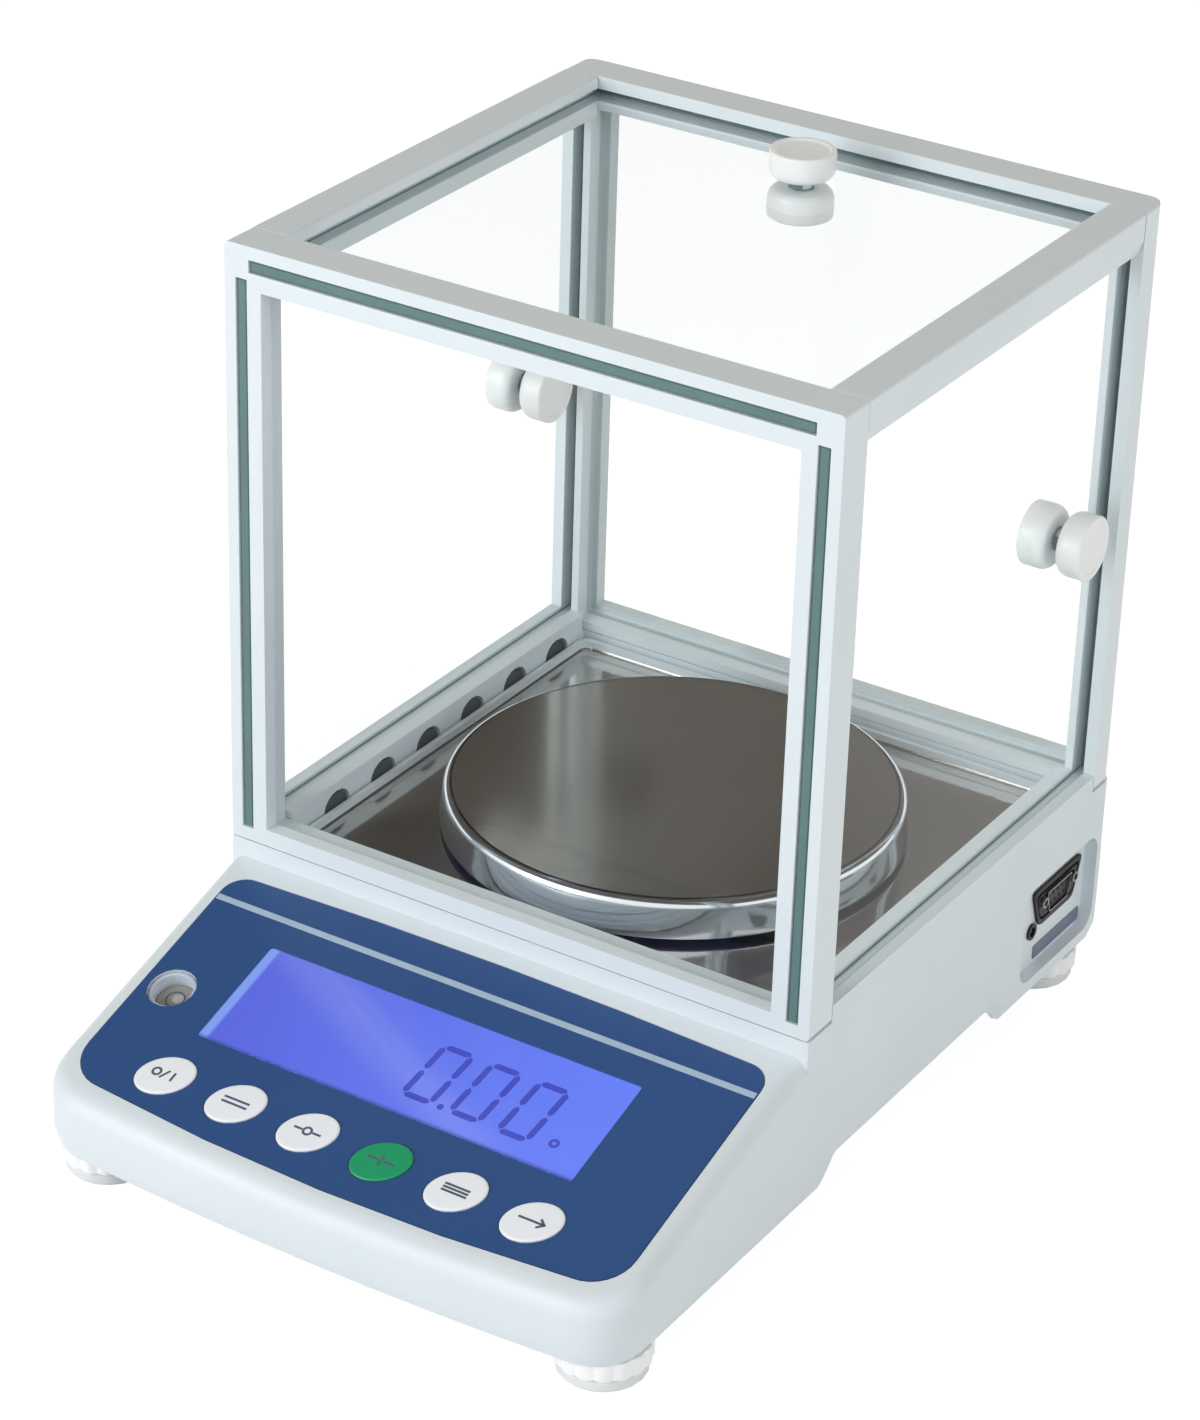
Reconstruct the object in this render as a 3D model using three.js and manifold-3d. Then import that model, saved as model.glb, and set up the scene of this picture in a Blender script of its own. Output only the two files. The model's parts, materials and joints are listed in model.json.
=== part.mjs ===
// A bench scale with a glass draft shield, in millimetres. X is to the right, Y runs to the back and
// Z is up from the table, with the origin on the table under the middle of the scale.

import * as THREE from 'three';
import { mergeVertices } from 'three/addons/utils/BufferGeometryUtils.js';
import Module from 'manifold-3d';

const wasm = await Module();
wasm.setup();

const deg = Math.PI / 180;

// Driving dimensions of the whole scale. Its width follows from what lies side by side on the console,
// its depth from the console and the pan, and its height from what stands under the console.
const skirtHeight = 10;
const shieldHeight = 187.5;
const consoleTilt = 17.5 * deg;
const backStep = 2;

// Clearances, and how far a cut runs past what it cuts
const touchGap = 0.3;
const slideGap = 0.35;
const overrun = 5;

// Steps that an arc is drawn in where nothing finer is asked for
const straight = 1;
const smallArc = 2;
const roundArc = 3;

// Console, set out from left to right along it and from the deck down its slope
const overlay = {
  leftMargin: 1.8,
  rightMargin: 29.2,
  rim: 6.2,
  topMargin: 5.4,
  bottomMargin: 8.5,
  frontMargin: 7.26,
  topBow: 1.8,
  bottomBow: 4,
  topCorner: 7,
  bottomCorner: 12,
  thickness: 0.5,
  proud: 0.1,
  steps: 4,
};
const level = {
  radius: 7.2,
  gap: 9.8,
  drop: 6.5,
  lensThickness: 1,
  cupWall: 1,
  cupDepth: 6.5,
  flange: 1.8,
  steps: 9,
};
const display = {
  width: 122.4,
  height: 36.3,
  topGap: 20.95,
  ledge: 1,
  corner: 1,
  moduleMargin: 3.2,
};
const keys = {
  count: 6,
  tare: 3,
  offset: -2,
  topGap: 9.65,
  gap: 0.5,
  halfWidth: 10.6,
  halfHeight: 6.3,
  flange: 1.1,
  flangeThickness: 1,
  crown: 0.7,
  edge: 0.35,
  travel: 0.4,
  playBelow: 0.1,
  stemRadius: 2,
  stemLength: 2,
  steps: 9,
};

const overlayWidth = overlay.leftMargin + 2 * level.radius + level.gap + display.width + overlay.rightMargin;
const overlayHalf = overlayWidth / 2;
const levelX = -overlayHalf + overlay.leftMargin + level.radius;
const displayX = levelX + level.radius + level.gap + display.width / 2;
const keyPitch = 2 * (keys.halfWidth + keys.flange) + keys.gap;
const keyX = (i) => keys.offset + (i - (keys.count - 1) / 2) * keyPitch;

const overlayTop = -overlay.topMargin;
const displayY = overlayTop - display.topGap - display.height / 2;
const levelY = displayY - level.drop;
const keyY = displayY - display.height / 2 - keys.topGap - keys.halfHeight;
const overlayBottom = keyY - keys.halfHeight - overlay.bottomMargin;
const consoleSlope = overlay.frontMargin - overlayBottom;

// Housing: a moulded shell with a skirt that arches along its sides
const housing = {
  wall: 2.5,
  frontCorner: 16,
  backCorner: 6,
  frontBow: 3,
  edgeRadius: 5,
  edgeSteps: 4,
  cornerSteps: 6,
  backSteps: 3,
  bowSteps: 8,
  skirtBevel: 1.6,
  skirtBevelHeight: 5,
  archRise: 7,
  archStart: 13,
  archEnd: 117,
  archRun: 9,
  archSteps: 3,
};

// Heights under the console, measured square to it from its face
const roofUnderside = -housing.wall - touchGap;
const flangeBottom = roofUnderside - keys.flangeThickness;
const stemBottom = flangeBottom - keys.stemLength;
const plungerTop = stemBottom - keys.travel - keys.playBelow;
const board = {
  sheet: 1.6,
  margin: 3.6,
  switchSize: 6,
  switchHeight: 2.2,
  plungerRadius: 1.7,
  plungerHeight: 0.5,
  postSize: 5,
  room: 1.77,
  steps: 8,
};
const boardTop = plungerTop - board.plungerHeight - board.switchHeight;
const boardLowY = keyY - board.margin - board.switchSize / 2;

// Base: a flat cover inside the skirt, with a boss for each foot
const base = {
  sheet: 2.5,
  lift: 8.5,
  lipHeight: 4,
  bossRadius: 7,
  lipWall: 2,
  fit: 0.35,
  bossSteps: 12,
};
const coverBottomZ = skirtHeight + base.lift;
const coverTopZ = coverBottomZ + base.sheet;
const bossTopZ = coverTopZ + base.sheet;

// Draft shield: bars of one section round the panes, with a groove for each pane
const shield = {
  bar: 12,
  curbHeight: 11,
  sillHeight: 5.5,
  topRail: 12.5,
  edge: 0.7,
  railBevel: 1.5,
  railBevelHeight: 4.5,
  cornerRadius: 1.4,
  backCorner: 5,
  backSteps: 4,
  paneInset: 5.5,
  topPaneInset: 5.7,
  doorGroove: 2.8,
  curbGroove: 1.2,
  rearGroove: 6,
  topPaneGroove: 4,
  fixedPaneGroove: 2.2,
  rebateLip: 4.5,
};
const pane = { thickness: 3, frontInset: 0.4, backGap: 0.5 };

// Pan, tray and what they stand on
const pan = {
  radius: 68.2,
  frontGap: 5.3,
  backGap: 11.3,
  topHeight: 14.4,
  sheet: 1.2,
  skirt: 6.5,
  roll: 2.6,
  steps: 44,
  rollSteps: 3,
};
const carrier = {
  postRadius: 6,
  plateRadius: 32,
  plateThickness: 3,
  holeRadius: 12,
  steps: 24,
};
const tray = {
  sheet: 0.8,
  rim: 2,
  edgeGap: 1.3,
  corner: 4,
  collar: 2.5,
};

// Overall sizes that follow
const bodyWidth = overlayWidth + 2 * overlay.rim;
const sideX = bodyWidth / 2;
const consoleLength = consoleSlope * Math.cos(consoleTilt);
const shieldDepth = 2 * shield.bar + pan.frontGap + 2 * pan.radius + pan.backGap;
const frontY = -(consoleLength + shieldDepth + backStep) / 2;
const shieldY = frontY + consoleLength;
const shieldBackY = shieldY + shieldDepth;
const backY = shieldBackY + backStep;
const panY = shieldY + shield.bar + pan.frontGap + pan.radius;
const boardDrop = -boardLowY * Math.sin(consoleTilt) - (boardTop - board.sheet) * Math.cos(consoleTilt);
const deckHeight = coverTopZ + board.room + boardDrop;
const topZ = deckHeight + shieldHeight;
const panTopZ = deckHeight + pan.topHeight;

// Solids: a closed geometry becomes a solid that can be cut and joined
function solid(geometry) {
  const bare = geometry.index ? geometry.toNonIndexed() : geometry.clone();
  bare.deleteAttribute('normal');
  bare.deleteAttribute('uv');
  const merged = mergeVertices(bare, 1e-4);
  return new wasm.Manifold(new wasm.Mesh({
    numProp: 3,
    vertProperties: new Float32Array(merged.attributes.position.array),
    triVerts: new Uint32Array(merged.index.array),
  }));
}

function geometryOf(body) {
  const mesh = body.getMesh();
  const geometry = new THREE.BufferGeometry();
  geometry.setAttribute('position', new THREE.BufferAttribute(new Float32Array(mesh.vertProperties), 3));
  geometry.setIndex(new THREE.BufferAttribute(new Uint32Array(mesh.triVerts), 1));
  const flat = geometry.toNonIndexed();
  flat.computeVertexNormals();
  return flat;
}

function joined(geometries) {
  return geometries.map(solid).reduce((sum, next) => sum.add(next));
}

function cut(body, geometries) {
  return geometries.reduce((rest, next) => rest.subtract(solid(next)), body);
}

// A box from its lowest to its highest corner
function block([x0, y0, z0], [x1, y1, z1]) {
  const geometry = new THREE.BoxGeometry(x1 - x0, y1 - y0, z1 - z0);
  return geometry.translate((x0 + x1) / 2, (y0 + y1) / 2, (z0 + z1) / 2);
}

// A turned piece about the Z axis from its half profile, listed as radius and height
function turned(profile, segments) {
  const points = profile.map(([radius, height]) => new THREE.Vector2(radius, height));
  return new THREE.LatheGeometry(points, segments).rotateX(Math.PI / 2);
}

function rod(radius, z0, z1, segments) {
  return turned([[0, z0], [radius, z0], [radius, z1], [0, z1]], segments);
}

// A flat shape in X and Y raised from z0 to z1
function raised(shape, z0, z1, segments) {
  const options = { depth: z1 - z0, bevelEnabled: false, curveSegments: segments };
  return new THREE.ExtrudeGeometry(shape, options).translate(0, 0, z0);
}

// A shape drawn in X and Z, run along Y from y0 to y1
function alongY(shape, y0, y1, segments) {
  return raised(shape, -y1, -y0, segments).rotateX(Math.PI / 2);
}

// A shape drawn in Y and Z, run along X from x0 to x1
function alongX(shape, x0, x1, segments) {
  return raised(shape, x0, x1, segments).rotateX(Math.PI / 2).rotateZ(Math.PI / 2);
}

function roundedRect(width, height, radius) {
  const w = width / 2;
  const h = height / 2;
  const shape = new THREE.Shape();
  shape.absarc(w - radius, h - radius, radius, 0, Math.PI / 2);
  shape.absarc(-w + radius, h - radius, radius, Math.PI / 2, Math.PI);
  shape.absarc(-w + radius, -h + radius, radius, Math.PI, 1.5 * Math.PI);
  shape.absarc(w - radius, -h + radius, radius, 1.5 * Math.PI, 2 * Math.PI);
  return shape;
}

function ellipse(halfWidth, halfHeight) {
  const shape = new THREE.Shape();
  shape.absellipse(0, 0, halfWidth, halfHeight, 0, 2 * Math.PI);
  return shape;
}

const scale = new THREE.Group();

function finish(colour, roughness, metalness = 0, opacity = 1) {
  return new THREE.MeshStandardMaterial({
    color: colour, roughness, metalness, opacity, transparent: opacity < 1,
  });
}

const looks = {
  casing: finish(0xdfe5e8, 0.45),
  underside: finish(0xc9cfd2, 0.55),
  overlay: finish(0x2f4f80, 0.35),
  key: finish(0xf2f7fa, 0.4),
  tareKey: finish(0x23a35a, 0.4),
  lens: finish(0xf4f8fb, 0.05, 0, 0.3),
  glass: finish(0xe8f4f1, 0.03, 0, 0.2),
  display: finish(0x6478eb, 0.25),
  knob: finish(0xf4f7f8, 0.35),
  steel: finish(0x9a958c, 0.15, 1),
  aluminium: finish(0xb9bcbf, 0.4, 1),
  board: finish(0x1f6b3c, 0.6),
  black: finish(0x1d1f22, 0.5),
  rubber: finish(0xd8dcdd, 0.8),
};

function place(name, geometry, look, parent = scale) {
  const mesh = new THREE.Mesh(geometry, looks[look]);
  mesh.name = name;
  parent.add(mesh);
  return mesh;
}

// Housing. Rings of its plan outline climb from the skirt to the roof, so the skirt can arch along the
// sides and the roof can slope down the console with a rounded edge.
const archFrontY = shieldY + housing.archStart;
const archBackY = shieldY + housing.archEnd;

function roofZ(y) {
  return deckHeight - Math.max(0, shieldY - y) * Math.tan(consoleTilt);
}

// Share of the arch's rise at a place along the side, with smooth ends
function archShare(y) {
  const climb = THREE.MathUtils.smoothstep(y, archFrontY, archFrontY + housing.archRun);
  const fall = THREE.MathUtils.smoothstep(y, archBackY - housing.archRun, archBackY);
  return climb - fall;
}

function skirtZ(y) {
  return skirtHeight + housing.archRise * archShare(y);
}

function arcPoints(x, y, radius, start, end, steps) {
  return Array.from({ length: steps + 1 }, (_, i) => {
    const angle = start + (end - start) * i / steps;
    return [x + radius * Math.cos(angle), y + radius * Math.sin(angle)];
  });
}

// Plan outline, anticlockwise from the middle of the front, drawn in by the inset. The skin of the
// housing also has points where the skirt climbs into its arch.
function planOutline(inset, arched = false) {
  const { frontCorner, backCorner, frontBow, cornerSteps, backSteps, bowSteps } = housing;
  const side = sideX - inset;
  const front = frontCorner - inset;
  const back = backCorner - inset;
  const bowHalf = sideX - frontCorner;
  const cornerY = frontY + frontBow + frontCorner;
  const archRamp = (from) => Array.from({ length: housing.archSteps + 1 },
    (_, i) => [side, from + housing.archRun * i / housing.archSteps]);
  const half = [];
  for (let i = 0; i < bowSteps / 2; i++) {
    const x = bowHalf * i / (bowSteps / 2);
    half.push([x, frontY + inset + frontBow * (x / bowHalf) ** 2]);
  }
  half.push(...arcPoints(bowHalf, cornerY, front, -Math.PI / 2, 0, cornerSteps));
  half.push([side, shieldY]);
  if (arched) {
    half.push(...archRamp(archFrontY));
    half.push(...archRamp(archBackY - housing.archRun));
  }
  half.push(...arcPoints(sideX - backCorner, backY - backCorner, back, 0, Math.PI / 2, backSteps));
  const mirrored = half.slice(1).reverse().map(([x, y]) => [-x, y]);
  return [...half, ...mirrored];
}

function planShape(inset) {
  return new THREE.Shape(planOutline(inset).map(([x, y]) => new THREE.Vector2(x, y)));
}

// Closed skin over a list of rings, each a list of points in space, from the lowest to the highest
function skin(rings, lowCaps, highCaps) {
  const count = rings[0].length;
  const positions = rings.flat(2);
  const index = [];
  for (let r = 0; r + 1 < rings.length; r++) {
    for (let i = 0; i < count; i++) {
      const j = (i + 1) % count;
      const a = r * count + i;
      const b = r * count + j;
      index.push(a, b, b + count, a, b + count, a + count);
    }
  }
  const addCap = (ring, members, upwards) => {
    const contour = members.map((i) => new THREE.Vector2(rings[ring][i][0], rings[ring][i][1]));
    for (const [a, b, c] of THREE.ShapeUtils.triangulateShape(contour, [])) {
      const corner = [a, b, c].map((i) => ring * count + members[i]);
      index.push(...(upwards ? corner : corner.reverse()));
    }
  };
  lowCaps.forEach((members) => addCap(0, members, false));
  highCaps.forEach((members) => addCap(rings.length - 1, members, true));
  const geometry = new THREE.BufferGeometry();
  geometry.setAttribute('position', new THREE.Float32BufferAttribute(positions, 3));
  geometry.setIndex(index);
  return geometry;
}

function ring(inset, height, arched = false) {
  return planOutline(inset, arched).map(([x, y]) => [x, y, height(y)]);
}

// Members of a ring on the console, and behind the line where it meets the deck
function roofCaps(arched = false) {
  const outline = planOutline(0, arched);
  const members = outline.map((_, i) => i);
  return [
    members.filter((i) => outline[i][1] <= shieldY),
    members.filter((i) => outline[i][1] >= shieldY),
  ];
}

function housingSkin() {
  const { wall, edgeRadius, edgeSteps, skirtBevel, skirtBevelHeight } = housing;
  const rings = [
    ring(2 * wall, skirtZ, true),
    ring(skirtBevel, skirtZ, true),
    ring(0, (y) => skirtZ(y) + skirtBevelHeight, true),
  ];
  for (let i = 0; i <= edgeSteps; i++) {
    const angle = Math.PI / 2 * i / edgeSteps;
    const inset = edgeRadius * (1 - Math.cos(angle));
    rings.push(ring(inset, (y) => roofZ(y) - edgeRadius * (1 - Math.sin(angle)), true));
  }
  const everyMember = [rings[0].map((_, i) => i)];
  return skin(rings, everyMember, roofCaps(true));
}

function cavitySkin() {
  const { wall } = housing;
  const rings = [ring(wall, () => 0), ring(wall, (y) => roofZ(y) - wall)];
  const everyMember = [rings[0].map((_, i) => i)];
  return skin(rings, everyMember, roofCaps());
}

// Console frame: X along the console, Y up its slope and Z out of it, from the line at the deck
const consoleFrame = new THREE.Matrix4().makeRotationX(consoleTilt).setPosition(0, shieldY, deckHeight);
const onConsole = (geometry, x = 0, y = 0, z = 0) => geometry.translate(x, y, z).applyMatrix4(consoleFrame);

const recessDepth = overlay.thickness - overlay.proud + touchGap;

function overlayShape(grow) {
  const w = overlayHalf + grow;
  const rt = overlay.topCorner + grow;
  const rb = overlay.bottomCorner + grow;
  const top = overlayTop - overlay.topBow + grow;
  const bottom = overlayBottom + overlay.bottomBow - grow;
  const shape = new THREE.Shape();
  shape.absarc(w - rb, bottom + rb, rb, -Math.PI / 2, 0);
  shape.absarc(w - rt, top - rt, rt, 0, Math.PI / 2);
  shape.quadraticCurveTo(0, top + 2 * overlay.topBow, -w + rt, top);
  shape.absarc(-w + rt, top - rt, rt, Math.PI / 2, Math.PI);
  shape.absarc(-w + rb, bottom + rb, rb, Math.PI, 1.5 * Math.PI);
  shape.quadraticCurveTo(0, bottom - 2 * overlay.bottomBow, w - rb, bottom);
  return shape;
}

function displayHole(grow) {
  return roundedRect(display.width + 2 * grow, display.height + 2 * grow, display.corner + grow);
}

// Places in the shield
const frameBottomZ = deckHeight + shield.sillHeight + touchGap;
const windowBottomZ = deckHeight + shield.curbHeight;
const windowTopZ = topZ - shield.topRail;
const windowHalf = sideX - shield.bar;
const chamberFrontY = shieldY + shield.bar;
const chamberBackY = shieldBackY - shield.bar;
const doorX = sideX - shield.paneInset;
const topPaneZ = topZ - shield.topPaneInset;
const slotHalf = pane.thickness / 2 + slideGap;
const doorTopZ = windowTopZ + shield.doorGroove;
const doorBottomZ = windowBottomZ - shield.curbGroove;

// Flat arched notches along the foot of the side curbs, open to the chamber
const notch = {
  count: 6,
  pitch: 23.2,
  first: 34,
  halfWidth: 6.2,
  foot: 3.2,
  height: 8.2,
  depth: 3,
  steps: 4,
};

function notchShape(y) {
  const shape = new THREE.Shape();
  shape.moveTo(y - notch.halfWidth, deckHeight - touchGap);
  shape.lineTo(y + notch.halfWidth, deckHeight - touchGap);
  shape.absellipse(y, deckHeight + notch.foot, notch.halfWidth, notch.height - notch.foot, 0, Math.PI);
  return shape;
}

// Sockets on the right side, near the back, in a shallow pocket of the housing
const pocket = {
  frontMargin: 12.5,
  backMargin: 4.5,
  sill: 1,
  height: 31.5,
  depth: 4,
  corner: 6,
};
const serial = {
  backGap: 11.5,
  rise: 19,
  width: 29,
  height: 11.5,
  slant: 19 * deg,
  corner: 2,
  body: 9,
  lip: 0.8,
  pins: 9,
  pinDepth: 3,
  pinSteps: 6,
  pinRadius: 0.55,
  pinPitch: 2.77,
  pinRow: 2.84,
};
const jack = {
  margin: 0.7,
  rise: 12,
  radius: 2.2,
  bore: 1.6,
  pin: 0.5,
  body: 9,
  lip: 0.5,
  steps: 12,
};
const serialY = backY - serial.backGap - serial.width / 2;
const serialFrontY = serialY - serial.width / 2;
const pocketFrontY = serialFrontY - pocket.frontMargin;
const pocketBackY = serialY + serial.width / 2 + pocket.backMargin;
const pocketBottomZ = skirtHeight + housing.skirtBevelHeight + pocket.sill;
const serialZ = pocketBottomZ + serial.rise;
const jackY = serialFrontY + jack.margin;
const jackZ = pocketBottomZ + jack.rise;
const pocketX = sideX - pocket.depth;

function pocketShape(grow) {
  const width = pocketBackY - pocketFrontY + 2 * grow;
  const height = pocket.height + 2 * grow;
  return roundedRect(width, height, pocket.corner + grow);
}

function atPocket(geometry) {
  return geometry.translate(0, (pocketFrontY + pocketBackY) / 2, pocketBottomZ + pocket.height / 2);
}

// Outline of a nine-pin socket, wider at the top, drawn about its own middle
function serialShape(grow) {
  const half = serial.width / 2 + grow;
  const high = serial.height / 2 + grow;
  const low = half - 2 * high * Math.tan(serial.slant);
  const r = serial.corner;
  const shape = new THREE.Shape();
  shape.moveTo(-half + r, high);
  shape.quadraticCurveTo(-half, high, -half + r * Math.sin(serial.slant), high - r);
  shape.lineTo(-low - r * Math.sin(serial.slant), -high + r);
  shape.quadraticCurveTo(-low, -high, -low + r, -high);
  shape.lineTo(low - r, -high);
  shape.quadraticCurveTo(low, -high, low + r * Math.sin(serial.slant), -high + r);
  shape.lineTo(half - r * Math.sin(serial.slant), high - r);
  shape.quadraticCurveTo(half, high, half - r, high);
  return shape;
}

// Screw posts moulded under the roof, and the sunk holes for their screws in the base
const screw = {
  x: 60,
  frontGap: 6,
  sidePlace: 52,
  postRadius: 3,
  boreRadius: 1.2,
  boreDepth: 7,
  holeRadius: 1.9,
  headRadius: 3.4,
  headDepth: 1.3,
  steps: 8,
};
const postInset = housing.wall + base.fit + base.lipWall + touchGap + screw.postRadius;
const screwPlaces = [-1, 1].flatMap((side) => [
  [side * screw.x, shieldY - screw.frontGap],
  [side * screw.x, backY - postInset],
  [side * (sideX - postInset), shieldY + screw.sidePlace],
]);
const foot = {
  sideInset: 14,
  frontInset: 20,
  backInset: 17,
  wheelRadius: 13.5,
  padRadius: 12.5,
  padHeight: 4,
  padEdge: 0.8,
  padSteps: 20,
  grips: 16,
  gripPoints: 3,
  gripDepthShare: 0.05,
  studRadius: 3,
  studTop: 16,
  studSteps: 12,
  socketRadius: 4.5,
  socketDepth: 1.5,
  travel: 5,
};
const footX = sideX - foot.sideInset;
const feet = [
  { side: 'front_left', x: -footX, y: frontY + foot.frontInset },
  { side: 'front_right', x: footX, y: frontY + foot.frontInset },
  { side: 'rear_left', x: -footX, y: backY - foot.backInset },
  { side: 'rear_right', x: footX, y: backY - foot.backInset },
];

function curbSection(sign) {
  const inner = windowHalf;
  const top = windowBottomZ;
  const shape = new THREE.Shape();
  shape.moveTo(sign * inner, deckHeight - housing.edgeRadius);
  shape.lineTo(sign * inner, top);
  shape.lineTo(sign * (doorX - slotHalf), top);
  shape.lineTo(sign * (doorX - slotHalf), doorBottomZ);
  shape.lineTo(sign * (doorX + slotHalf), doorBottomZ);
  shape.lineTo(sign * (doorX + slotHalf), top);
  shape.lineTo(sign * sideX, top);
  shape.lineTo(sign * sideX, deckHeight - housing.edgeRadius);
  return shape;
}

function topHousing() {
  const { wall, edgeRadius } = housing;
  const lowZ = deckHeight - wall - edgeRadius;
  const sillZ = deckHeight + shield.sillHeight;
  const curbFrontY = chamberFrontY + touchGap;
  const curbBackY = chamberBackY - touchGap;
  const rim = joined([
    alongY(curbSection(1), curbFrontY, curbBackY, straight),
    alongY(curbSection(-1), curbFrontY, curbBackY, straight),
    block([-sideX, shieldY, lowZ], [sideX, chamberFrontY, sillZ]),
    block([-sideX, chamberBackY, lowZ], [sideX, shieldBackY, sillZ]),
    block([-sideX, shieldY, lowZ], [-windowHalf, shieldBackY, sillZ]),
    block([windowHalf, shieldY, lowZ], [sideX, shieldBackY, sillZ]),
  ]).intersect(solid(raised(planShape(0), lowZ, topZ, straight)));
  const pocketWall = atPocket(alongX(pocketShape(wall), pocketX - wall, sideX, roundArc));
  const posts = joined(screwPlaces.map(([x, y]) =>
    rod(screw.postRadius, coverTopZ + touchGap, roofZ(y) - wall / 2, screw.steps).translate(x, y, 0)));
  const shell = solid(housingSkin()).subtract(solid(cavitySkin()));
  let body = shell.add(rim).add(solid(pocketWall)).add(posts);
  const postEndZ = coverTopZ + touchGap;
  const bores = screwPlaces.map(([x, y]) =>
    rod(screw.boreRadius, postEndZ - overrun, postEndZ + screw.boreDepth, screw.steps).translate(x, y, 0));
  const behindX = pocketX - wall - overrun;
  const jackHole = rod(jack.radius + touchGap, behindX, sideX, jack.steps).rotateY(Math.PI / 2);
  const serialHole = alongX(serialShape(touchGap), behindX, sideX, smallArc);
  const levelHole = raised(ellipse(level.radius, level.radius), -wall - overrun, overrun, level.steps);
  const displayOpening = raised(displayHole(-display.ledge), -wall - overrun, overrun, smallArc);
  body = cut(body, [
    ...bores,
    atPocket(alongX(pocketShape(0), pocketX, sideX + overrun, roundArc)),
    serialHole.translate(0, serialY, serialZ),
    jackHole.translate(0, jackY, jackZ),
    rod(carrier.holeRadius, lowZ - overrun, deckHeight + overrun, carrier.steps).translate(0, panY, 0),
    onConsole(raised(overlayShape(touchGap), -recessDepth, overrun, overlay.steps)),
    onConsole(displayOpening, displayX, displayY),
    onConsole(levelHole, levelX, levelY),
  ]);
  for (let i = 0; i < keys.count; i++) {
    const hole = raised(ellipse(keys.halfWidth + slideGap, keys.halfHeight + slideGap),
      -wall - overrun, overrun, keys.steps);
    body = cut(body, [onConsole(hole, keyX(i), keyY)]);
  }
  for (let i = 0; i < notch.count; i++) {
    const shape = notchShape(shieldY + notch.first + i * notch.pitch);
    body = cut(body, [
      alongX(shape, windowHalf - overrun, windowHalf + notch.depth, notch.steps),
      alongX(shape, -windowHalf - notch.depth, -windowHalf + overrun, notch.steps),
    ]);
  }
  return geometryOf(body);
}

// Base cover: a plate that closes the housing from below, with an upstanding lip and four foot bosses
function baseHousing() {
  const inset = housing.wall + base.fit;
  const lipTopZ = coverTopZ + base.lipHeight;
  const plate = raised(planShape(inset), coverBottomZ, coverTopZ, straight);
  const lip = raised(planShape(inset), coverBottomZ, lipTopZ, straight);
  const hollow = raised(planShape(inset + base.lipWall), coverTopZ, lipTopZ + overrun, straight);
  const bosses = feet.map(({ x, y }) =>
    rod(base.bossRadius, skirtHeight, bossTopZ, base.bossSteps).translate(x, y, 0));
  const threadRadius = foot.studRadius + slideGap;
  const threads = feet.map(({ x, y }) =>
    rod(threadRadius, skirtHeight - overrun, bossTopZ + overrun, base.bossSteps).translate(x, y, 0));
  const screwHoles = screwPlaces.map(([x, y]) => turned([
    [0, coverBottomZ - overrun], [screw.headRadius, coverBottomZ - overrun],
    [screw.headRadius, coverBottomZ + screw.headDepth], [screw.holeRadius, coverBottomZ + screw.headDepth],
    [screw.holeRadius, coverTopZ + overrun], [0, coverTopZ + overrun],
  ], screw.steps).translate(x, y, 0));
  const room = housing.wall + touchGap;
  const pocketRoom = block(
    [pocketX - room, pocketFrontY - room, coverBottomZ - overrun],
    [sideX + overrun, pocketBackY + room, lipTopZ + overrun],
  );
  const shell = cut(joined([plate, lip]), [hollow]).add(joined(bosses));
  return geometryOf(cut(shell, [...threads, ...screwHoles, pocketRoom]));
}

// Levelling feet: a gripped wheel on a stud that screws through the base, turning in a soft pad
function wheelShape() {
  const points = [];
  const count = foot.grips * foot.gripPoints;
  for (let i = 0; i < count; i++) {
    const angle = 2 * Math.PI * i / count;
    const dip = i % foot.gripPoints === 0 ? foot.gripDepthShare : 0;
    const radius = foot.wheelRadius * (1 - dip);
    points.push(new THREE.Vector2(radius * Math.cos(angle), radius * Math.sin(angle)));
  }
  return new THREE.Shape(points);
}

function footWheel() {
  const wheelBottomZ = foot.padHeight + touchGap;
  const studBottomZ = foot.padHeight - foot.socketDepth + touchGap;
  return geometryOf(joined([
    raised(wheelShape(), wheelBottomZ, skirtHeight - touchGap, straight),
    rod(foot.studRadius, studBottomZ, skirtHeight + foot.studTop, foot.studSteps),
  ]));
}

function footPad() {
  const r = foot.padRadius;
  const e = foot.padEdge;
  const socketZ = foot.padHeight - foot.socketDepth;
  return turned([
    [0, 0], [r - e, 0], [r, e], [r, foot.padHeight - e], [r - e, foot.padHeight],
    [foot.socketRadius, foot.padHeight], [foot.socketRadius, socketZ], [0, socketZ],
  ], foot.padSteps);
}

// Front and back frames: a ring round each fixed pane
function frameRing(y0, y1) {
  const middleZ = (frameBottomZ + topZ) / 2;
  const ringShape = roundedRect(bodyWidth, topZ - frameBottomZ, shield.cornerRadius);
  const windowMiddleZ = (windowBottomZ + windowTopZ) / 2;
  const window = new THREE.Path();
  const halfHeight = (windowTopZ - windowBottomZ) / 2;
  const lift = windowMiddleZ - middleZ;
  window.moveTo(-windowHalf, lift - halfHeight);
  window.lineTo(-windowHalf, lift + halfHeight);
  window.lineTo(windowHalf, lift + halfHeight);
  window.lineTo(windowHalf, lift - halfHeight);
  ringShape.holes.push(window);
  return alongY(ringShape, y0, y1, smallArc).translate(0, 0, middleZ);
}

function sidePaneSlots(y0, y1) {
  return [-doorX, doorX].map((x) => block([x - slotHalf, y0, doorBottomZ], [x + slotHalf, y1, doorTopZ]));
}

const topPaneHalf = windowHalf + shield.topPaneGroove;

function topPaneSlot(y0, y1) {
  return block([-topPaneHalf, y0, topPaneZ - slotHalf], [topPaneHalf, y1, topPaneZ + slotHalf]);
}

// Step that a fixed pane sits in, open towards the chamber
const rebateHalf = windowHalf + shield.fixedPaneGroove;

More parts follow.
